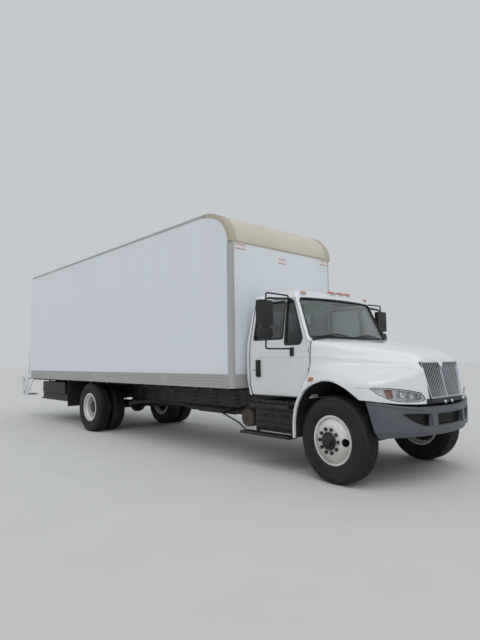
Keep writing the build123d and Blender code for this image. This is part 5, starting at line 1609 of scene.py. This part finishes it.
@dataclass
class Bumper(Assembly):
    """Ledge, opening rims, dark backing and fasteners of the front bumper."""

    plan: Line = ((0, -945), (600, -855), (850, -757), (1060, -640), (1125, -565), (1150, -440))
    middle: Line = ((-335, 697.5), (335, 697.5), (335, 842.5), (-335, 842.5))
    nearest: float = -944.8
    outer: Line = ((430, 843), (430, 695), (560, 706), (690, 750), (790, 812), (868, 862), (790, 866))

    def station(self, x: float) -> float:
        """Station of the bumper's face at a place across."""
        return float(np.interp(abs(x), *zip(*self.plan)))

    def kept(self, station: float) -> float:
        """Station that doesn't pass the bumper's foremost face."""
        return max(station, self.nearest)

    def edge(self, x: float) -> float:
        """Height of the top edge at a place across."""
        return float(np.interp(abs(x), (0, 600, 880, 1200), (917, 925, 950, 1010)))

    def build(self) -> None:
        """All pieces of the bumper."""
        across = [*np.linspace(-1140, -600, 22), *np.linspace(-570, 570, 24), *np.linspace(600, 1140, 22)]
        ledge = [[at(x, self.kept(self.station(x) + a), self.edge(x) + b) for a, b in
                  ((4, -34), (-7, -26), (-9, -16), (-2, -5), (10, 1), (34, 1), (34, -6), (12, -20))] for x in across]
        Piece("bumper_ledge").loft(ledge).dress("bumper_slate", sharp=50)
        sill = [[at(x * 0.985, self.kept(self.station(x) + a), z) for a, z in
                 ((2, 664), (-6, 656), (-5, 645), (22, 628), (30, 640), (30, 664))] for x in across if abs(x) < 1095]
        Piece("bumper_sill").loft(sill).dress("bumper_slate", sharp=50)

        def ahead(point: Vector, out: float) -> Vector:
            """Place on the bumper's face."""
            return at(point.x, self.kept(self.station(point.x) - out), point.y)

        rims = Piece("bumper_rims")
        for hand, corners, corner, steps in ((1, self.middle, 26, 5), (1, self.outer, 22, 4), (-1, self.outer, 22, 4)):
            outline = densely(rounded([(hand * x, z) for x, z in corners], corner, steps), 45.0)
            rims.stepped(outline, ((-16, -6), (-14, 3), (-5, 6), (3, 0), (4, -34), (-6, -34)), ahead, True)
        rims.dress("bumper_slate", sharp=50)
        backing = [[at(x, self.station(x) + a, z) for a, z in ((70, 684), (60, 684), (60, 876), (70, 876))]
                   for x in np.linspace(-886, 886, 40)]
        Piece("bumper_backing").loft(backing).dress("hub_black")
        slats = Piece("bumper_slats")
        for z in (722, 748, 774, 800, 826):
            slats.loft([[at(x, self.station(x) + a, z + b) for a, b in ((58, -5), (34, -2), (34, 3), (58, 5))]
                        for x in np.linspace(-800, 800, 40)])
        slats.dress("trim_black")
        spots = [(ahead(Vector((x, z)), 4), standing(0, -1, 0)) for x in (-385, 385) for z in (886, 658)]
        self.heads.spread("bumper_bolts", spots, head(0.012, 0.012, 0.8, 12), "bare_aluminium", "chassis")
        hooks = Piece("tow_hooks")
        for x in (-250, 250):
            hooks.tube([at(x + a, b, 600) for a, b in
                        ((-26, -640), (-30, -760), (-18, -800), (18, -800), (30, -760), (26, -640))], 0.013, 10)
            hooks.slab((x - 45, x + 45), (-690, -610), (585, 705))
        hooks.dress("cast_iron", soften=0.003)


@dataclass
class Box(Assembly):
    """Rivets, splices, caps, labels and lamps of the load space."""

    front: float = 1763.0
    rear: float = 10120.0
    roof: float = 3830.0
    nose: tuple[float, float, float] = (630.0, 530.0, 3300.0)
    rail_pitch: float = 118.0
    side_lamp: float = 8865.0

    def nose_line(self, out: float) -> list[Pair]:
        """Station and height along the nose's curve, from its lower edge to the roof."""
        deep, high, low = self.nose
        return [(self.front + deep - (deep + out) * math.cos(a),
                 min(low + (high + out) * math.sin(a), self.roof - 0.3)) for a in np.linspace(0, math.pi / 2, 19)]

    def rivets(self, name: str, places: Sequence[Vector], turn: Matrix,
               finish: str = "bare_aluminium", size: Pair = (0.0062, 0.00558)) -> None:
        """Rivets that all stand the same way.

        Args:
            name: name of the piece.
            places: their places.
            turn: the turn of each.
            finish: their finish.
            size: radius and height of each, in metres.
        """
        self.heads.spread(name, [(place, turn) for place in places], head(*size, 0.55, 8), finish, "chassis", 70)

    def build(self) -> None:
        """All pieces of the box."""
        to_front, upright = standing(0, -1, 0), (0.006, 0.006)
        row = np.arange(self.front + 70, self.rear - 60, self.rail_pitch)
        for side in Side:
            hand = side.value
            turn = standing(hand, 0, 0)
            self.rivets(f"rail_rivets_{side}", [at(hand * 1225, s, z) for s in row for z in (1106, 1254)], turn)
            self.rivets(f"roof_rivets_{side}", [at(hand * 1223, s, 3806) for s in np.arange(2440, self.rear - 60, 152)],
                        turn)
            self.rivets(f"cap_rivets_{side}", [at(hand * 1221, s + 24, z - 26)
                                               for s, z in self.nose_line(0.0)[1:-1:2]], turn, "nose_trim")
            self.rivets(f"post_rivets_{side}", [at(hand * 1172, 1762, z) for z in np.arange(1330, 3290, 140)],
                        to_front, size=upright)
            self.cap_band(side)
        self.splices()
        self.labels()
        self.lamps()
        self.roll_up_door()
        foot = [at(x, self.front - 1, z) for x in np.arange(-1080, 1081, 120) for z in (1104, 1258)]
        self.rivets("front_rail_rivets", foot, to_front, size=upright)

    def cap_band(self, side: Side) -> None:
        """Beige band along one edge of the nose, and the closing strip under it.

        Args:
            side: the truck's side.
        """
        hand = side.value
        inner, outer = 1088.0, 1220.5
        rings = [[at(hand * x, *p) for x, p in (
            (inner, low), (inner, high), (outer, high), (outer + 2.2, low),
            (outer + 2.2, (low[0] + 38, low[1] - 34)), (outer - 6, (low[0] + 38, low[1] - 34)))]
                 for high, low in zip(self.nose_line(2.2), self.nose_line(-14.0))]
        Piece(f"nose_band_{side}").loft(rings).dress("nose_trim", sharp=40)
        gap = Piece(f"nose_gap_{side}").slab((hand * 1214, hand * 1223.2), (2392, 2402), (3784, 3829.5))
        gap.dress("hub_black")

    def splices(self) -> None:
        """Splice plates and ribs on the lower rails, and the strip under the nose."""
        plates, ribs = Piece("rail_splices"), Piece("rail_ribs")
        for hand in (-1, 1):
            for s in (3520.0, 6170.0, 8820.0):
                plates.slab((hand * 1223, hand * 1227.5), (s - 90, s + 90), (1100, 1262))
            for z in (1086, 1130, 1180, 1230, 1276):
                ribs.slab((hand * 1222, hand * 1228), (1842, 10014), (z - 5, z + 5))
        plates.dress("bare_aluminium", soften=0.001)
        strip = Piece("nose_strip").slab((-1139, 1139), (self.front - 5, self.front + 8), (3284, 3318))
        strip.dress("nose_trim", soften=0.002)
        ribs.dress("bare_aluminium", soften=0.002)

    def labels(self) -> None:
        """Blank labels with two plain red edges on the front wall."""
        sheets, edges = Piece("plain_labels"), Piece("label_edges")
        face = self.front - 1.2
        for x, half, z in ((-1020.0, 115.0, 3226.0), (1020.0, 115.0, 3226.0), (-70.0, 100.0, 3112.0)):
            sheets.slab((x - half, x + half), (face, face + 5), (z - 46, z + 46))
            for middle in (z - 33, z + 33):
                edges.slab((x - half + 6, x + half - 6), (face - 0.8, face + 2), (middle - 6, middle + 6))
        sheets.dress("label_plain")
        edges.dress("label_red")

    def lamps(self) -> None:
        """Side lamps under the rails with their brackets, lamps of the rear frame, and the plain plate."""
        lenses, backs, reds = Piece("side_lenses"), Piece("side_lamp_backs"), Piece("rear_lenses")
        s = self.side_lamp
        ring = oblong((s - 68, s + 68), (1012, 1056), 14, 4)
        for hand in (-1, 1):
            backs.slab((hand * 1168, hand * 1176), (s - 76, s + 76), (1004, 1080))
            backs.stepped(ring, ((-4, 1174), (-4, 1192), (0, 1196)), abreast(hand))
            lenses.stepped(ring, ((2, 1192), (2, 1204), (7, 1211), (15, 1213)), abreast(hand))
        small = [(x, 3742.0, 19.0, 12) for x in (-120.0, 0.0, 120.0, -1090.0, 1090.0)]
        large = [(x, z, 52.0, 16) for x in (-1168.0, 1168.0) for z in (1245.0, 1375.0)]
        for x, z, radius, depth in (*small, *large):
            aim = aimed(at(x, self.rear, z), TO_REAR)
            backs.turned(aim, ((-3, 0), (-3, radius + 6), (5, radius + 6), (7, radius + 1), (7, 0)), 28, False)
            reds.turned(aim, ((5, 0), (5, radius), (depth, radius - 2), (depth + 3, radius * 0.7), (depth + 4, 0)),
                        28, False)
        lenses.dress("lamp_silver")
        reds.dress("lamp_red")
        backs.dress("trim_black")
        wells = Piece("plate_lamp_wells")
        for hand in (-1, 1):
            for z in (1035.0, 677.0):
                wells.slab((hand * 1150, hand * 1199), (10537, 10613), (z - 38, z + 38))
        wells.dress("hub_black")
        plate = Piece("blank_plate").slab((-152, 152), (self.rear - 2, self.rear + 3), (1096, 1176))
        plate.dress("label_plain", soften=0.001)

    def roll_up_door(self) -> None:
        """Hinges between the rear door's panels with their rivets, and its latch."""
        hinges = [(x, 1200 + 305 * k) for k in range(1, 8) for x in (-980, -490, 0, 490, 980)]
        rivets = [(at(x + dx, 10078, z + dz), standing(0, 1, 0)) for x, z in hinges
                  for dx in (-30, 30) for dz in (-22, 22)]
        self.heads.spread("door_hinge_rivets", rivets, head(0.005, 0.006, 0.6, 8), "bare_aluminium", "chassis", 70)
        leaves = Piece("door_hinges")
        for x, z in hinges:
            leaves.slab((x - 45, x + 45), (10074, 10078.5), (z - 34, z + 34))
            leaves.tube([at(x - 45, 10078, z), at(x + 45, 10078, z)], 0.006, 8)
        leaves.dress("bare_aluminium", sharp=50)
        lock = Piece("door_latch").slab((-60, 60), (10074, 10082), (1232, 1292))
        lock.tube([at(-46, 10096, 1262), at(46, 10096, 1262)], 0.010, 10)
        lock.tube([at(0, 10080, 1262), at(0, 10100, 1262)], 0.012, 10)
        lock.slab((-14, 14), (10082, 10104), (1200, 1262)).dress("bare_aluminium", soften=0.001)

@dataclass
class Frame(Assembly):
    """Springs, bolts, pipes, straps, treads and brackets under the truck."""

    rail_x: float = 432.0
    spring_x: float = 395.0
    rear_axle: float = 6470.0
    tank: tuple[float, float, float] = (1890.0, 610.0, 135.0)
    leaf: float = 13.0

    def build(self) -> None:
        """All pieces of the frame."""
        self.springs()
        self.bolts()
        self.pipes()
        self.steps()
        self.brakes()
        self.flaps()
        # Black sheet on the cab's lower front wall behind the hood: painted shade where the hood shades the wall.
        Piece("front_wall_mat").loft([[at(x, 478 - gap - 8 * (1 - (x / 980) ** 2) * k, z) for gap, z, k in (
            (5, 992, 1), (5, 1190, 4.4), (2, 1190, 4.4), (2, 992, 1))] for x in np.linspace(-830, 830, 29)]).dress(
            "liner_black")

    def springs(self) -> None:
        """Leaves, U-bolts and clips of the four springs."""
        leaves, bolts = Piece("spring_leaves"), Piece("spring_bolts")
        for x in (-self.spring_x, self.spring_x):
            for middle, height, bend, reaches, half, top in (
                    (0.0, 530.0, 0.000304, (560, 430, 300), 58, 585),
                    (self.rear_axle, 566.0, 0.00013, (600, 470, 340, 220), 78, 672)):
                for k, reach in enumerate(reaches):
                    leaves.loft([[at(x + a, middle + s, height - k * self.leaf + bend * s * s + b) for a, b in (
                        (-36, 0), (36, 0), (36, 8), (-36, 8))] for s in np.linspace(-reach, reach, 15)])
                for s in (middle - half, middle + half):
                    for a in (x - 44, x + 44):
                        bolts.tube([at(a, s, 470), at(a, s, top)], 0.009, 8)
                    bolts.tube([at(x - 44, s, top), at(x + 44, s, top)], 0.009, 8)
                bolts.slab((x - 60, x + 60), (middle - half - 20, middle + half + 20), (478, 492))
        leaves.dress("cast_iron", soften=0.001)
        bolts.dress("cast_iron")

    def bolts(self) -> None:
        """Bolt heads along the webs of the frame."""
        stations = (-480, -360, 1640, 2240, 2520, 3100, 3700, 4300, 4900, 5500, 5720, 7220, 7440, 7900, 9620, 9900)
        spots = [(at(hand * (self.rail_x + 2), s + ds, z), standing(hand, 0, 0)) for hand in (-1, 1)
                 for s in stations for ds in (-40, 40) for z in (760, 830, 900)]
        self.heads.spread("frame_bolts", spots, head(0.013, 0.014, 0.92, 6), "cast_iron", "chassis", 25)

    def pipes(self) -> None:
        """Exhaust under the right rail with its straps, struts of the steps and air lines along the rails."""
        pipe, straps = Piece("exhaust_pipe"), Piece("pipe_straps")
        path = [at(*p) for p in ((-250, 1700, 640), (-430, 2120, 636), (-430, 3850, 636), (-300, 4150, 660),
                                 (-300, 5200, 660), (-610, 5560, 640), (-700, 5640, 600))]
        pipe.tube(rounded(path, 0.12, 5, False), 0.045, 16)
        pipe.tube([at(-430, 2560, 636), at(-430, 3540, 636)], 0.06, 20).dress("cast_iron", sharp=50)
        for x, s, z in ((-430, 2300, 636), (-430, 3700, 636), (-300, 4700, 660)):
            straps.turned(aimed(at(x, s, z), TO_REAR), ((-14, 45), (-14, 49), (14, 49), (14, 45)), 24)
            straps.slab((x - 5, x + 5), (s - 14, s + 14), (z + 44, 760))
        s, z, radius = self.tank
        for x in (-520, -690, 520, 690):
            straps.turned(Matrix.Translation(at(x, s, z)), ((-16, radius - 1), (-16, radius + 2.5), (16, radius + 2.5),
                                                            (16, radius - 1)), 36)
        straps.dress("cast_iron")
        struts, lines = Piece("step_struts"), Piece("air_lines")
        for hand in (-1, 1):
            for radius, way in ((0.013, ((1000, 1668, 456), (905, 1964, 547), (900, 2350, 660))),
                                (0.016, ((432, 2350, 722), (640, 2350, 690), (908, 2350, 664)))):
                struts.tube([at(hand * x, s, z) for x, s, z in way], radius, 10)
            for k, radius in enumerate((0.009, 0.007, 0.007)):
                lines.tube([at(hand * (self.rail_x - 22 - 3 * math.sin(s / 300.0 + k)), s,
                               940 - 22 * k + 3 * math.sin(s / 410.0 + 2 * k)) for s in np.arange(1900, 7900, 150)],
                           radius, 8)
        struts.dress("cast_iron")
        lines.dress("trim_black")

    def steps(self) -> None:
        """Gripping treads, panel seams and bolts of the step units."""
        treads, spots, panels = [], [], Piece("step_panels")
        bolts = [(s, z) for s in range(760, 1481, 120) for z in (505, 905)]
        bolts += [(s, z) for z in (585, 665, 745, 825) for s in (760, 1116, 1124, 1480)]
        for hand in (-1, 1):
            for s0, s1, z, x0, x1 in ((745, 1680, 477, 990, 1118), (755, 1490, 880, 988, 1108),
                                      (10400, 10710, 1077, 915, 1188), (10400, 10710, 632, 915, 1188)):
                for i, s in enumerate(np.arange(s0, s1, 26.0)):
                    treads += [(at(hand * x, s, z), Matrix.Identity(3))
                               for x in np.arange(x0 + (12 if i % 2 else 0), x1, 30.0)]
            spots += [(at(hand * 982, s, z), standing(hand, 0, 0)) for s, z in bolts]
            for s0, s1 in ((770, 1106), (1134, 1470)):
                for z0, z1 in ((520, 604), (612, 696), (704, 788), (796, 890)):
                    panels.slab((hand * 976, hand * 987), (s0, s1), (z0, z1))
                middle = (s0 + s1) / 2
                panels.tube([at(hand * x, middle + s, 720) for x, s in ((990, -40), (998, -30), (998, 30), (990, 40))],
                            0.006, 8)
        self.blocks.spread("step_treads", treads, {"Size": (0.018, 0.008, 0.006)}, "trim_black", "chassis")
        self.heads.spread("step_bolts", spots, head(0.009, 0.008, 0.7, 10), "steel_grey", "chassis", 60)
        panels.dress("trim_black", soften=0.003, sharp=50)

    def brakes(self) -> None:
        """Brake chambers on the rear axle, with their rods."""
        chambers = Piece("brake_chambers")
        for x in (-500, 500):
            aim = aimed(at(x, self.rear_axle + 210, 560), TO_REAR)
            chambers.turned(aim, ((-90, 0), (-90, 55), (-76, 78), (-8, 82), (-8, 88), (8, 88), (8, 82), (70, 78),
                                  (84, 55), (84, 0)), 28, False)
            chambers.tube([at(x, self.rear_axle + 125, 560), at(x, self.rear_axle + 40, 540)], 0.02, 10)
        chambers.dress("cast_iron")

    def flaps(self) -> None:
        """Bars, clamps and bolts that hold the flaps behind the rear wheels."""
        bars = Piece("flap_bars")
        for hand in (-1, 1):
            bars.slab((hand * 600, hand * 1196), (7634, 7640), (1000, 1042))
            bars.slab((hand * 434, hand * 640), (7634, 7646), (880, 1020))
        bars.dress("cast_iron", soften=0.002)
        spots = [(at(hand * x, 7642, 1021), standing(0, 1, 0)) for hand in (-1, 1) for x in np.arange(650, 1180, 85)]
        self.heads.spread("flap_bolts", spots, head(0.009, 0.010, 0.85, 6), "bare_aluminium", "chassis", 25)


@dataclass
class Studio:
    """Camera of the photograph, pale floor and soft lights."""

    camera_at: Point = (-5.956976, -8.542342, 1.492443)
    yaw: float = 0.738917
    pitch: float = 0.0825628
    roll: float = -0.0118595
    focal_pixels: float = 485.7635
    frame_height: float = 640.0

    def camera(self) -> None:
        """Makes the camera and sets it."""
        data = bpy.data.cameras.new("camera")
        data.sensor_width = 36.0
        data.lens = self.focal_pixels * data.sensor_width / self.frame_height
        data.clip_end = 400.0
        camera = place_mesh("camera", data)
        level = math.cos(self.pitch)
        ahead = Vector((math.sin(self.yaw) * level, math.cos(self.yaw) * level, math.sin(self.pitch)))
        flat = Vector((math.cos(self.yaw), -math.sin(self.yaw), 0.0))
        above = flat.cross(ahead)
        right = flat * math.cos(self.roll) + above * math.sin(self.roll)
        up = above * math.cos(self.roll) - flat * math.sin(self.roll)
        turn = Matrix((right, up, -ahead)).transposed().to_4x4()
        camera.matrix_world = Matrix.Translation(Vector(self.camera_at)) @ turn
        bpy.context.scene.camera = camera

    def floor(self) -> None:
        """Pale floor."""
        mesh = bpy.data.meshes.new("floor")
        half = 150.0
        mesh.from_pydata([(-half, -half, 0), (half, -half, 0), (half, half, 0), (-half, half, 0)], [], [(0, 1, 2, 3)])
        shader = Shader("floor_pale")
        cloud = shader.noise(1.5, 3.0)
        mesh.materials.append(shader.finish(shader.mix(cloud, linear("#c9c9c7"), linear("#d2d2d0")), 0.9))
        place_mesh("floor", mesh)

    def lights(self) -> None:
        """Soft sky and one large lamp."""
        world = bpy.data.worlds.new("sky")
        world.use_nodes = True
        sky = world.node_tree.nodes["Background"].inputs
        sky[0].default_value, sky[1].default_value = (0.93, 0.96, 1.0, 1.0), 0.6
        bpy.context.scene.world = world
        lamp = bpy.data.lights.new("sun", "SUN")
        lamp.energy, lamp.angle = 1.1, math.radians(60)
        place_mesh("sun", lamp).rotation_euler = (math.radians(35), 0, math.radians(-40))

    def build(self) -> None:
        """Everything of the studio."""
        self.camera()
        self.floor()
        self.lights()


def carry_over(frame: dict[str, Any]) -> None:
    """Gives each CAD node that still shows its finish.
    """
    slots = {entry["node"]: entry["material_slot"] for entry in frame["record"]["subparts"]}
    special = {"cab_body": "cab_paint", "door_left": "cab_paint", "door_right": "cab_paint",
               "door_glass_left": "side_glass", "door_glass_right": "side_glass"}
    for name, node in frame["nodes"].items():
        node.data.materials.clear()
        node.data.materials.append(finished(special.get(name, slots[name])))
    LOG.info("carried over %d nodes", len(frame["nodes"]))


def main() -> None:
    """Builds the truck's looks in order."""
    logging.basicConfig(level=logging.INFO, format="%(message)s")
    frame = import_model()
    bpy.context.scene.view_settings.view_transform = "Standard"
    Studio().build()
    carry_over(frame)
    patterns = Pattern(Head.ROUND), Pattern(Head.BLOCK)
    Hood().build()
    Cab().build()
    for assembly in (Wheels, Bumper, Box, Frame):
        assembly(*patterns).build()


if __name__ == "__main__":
    main()
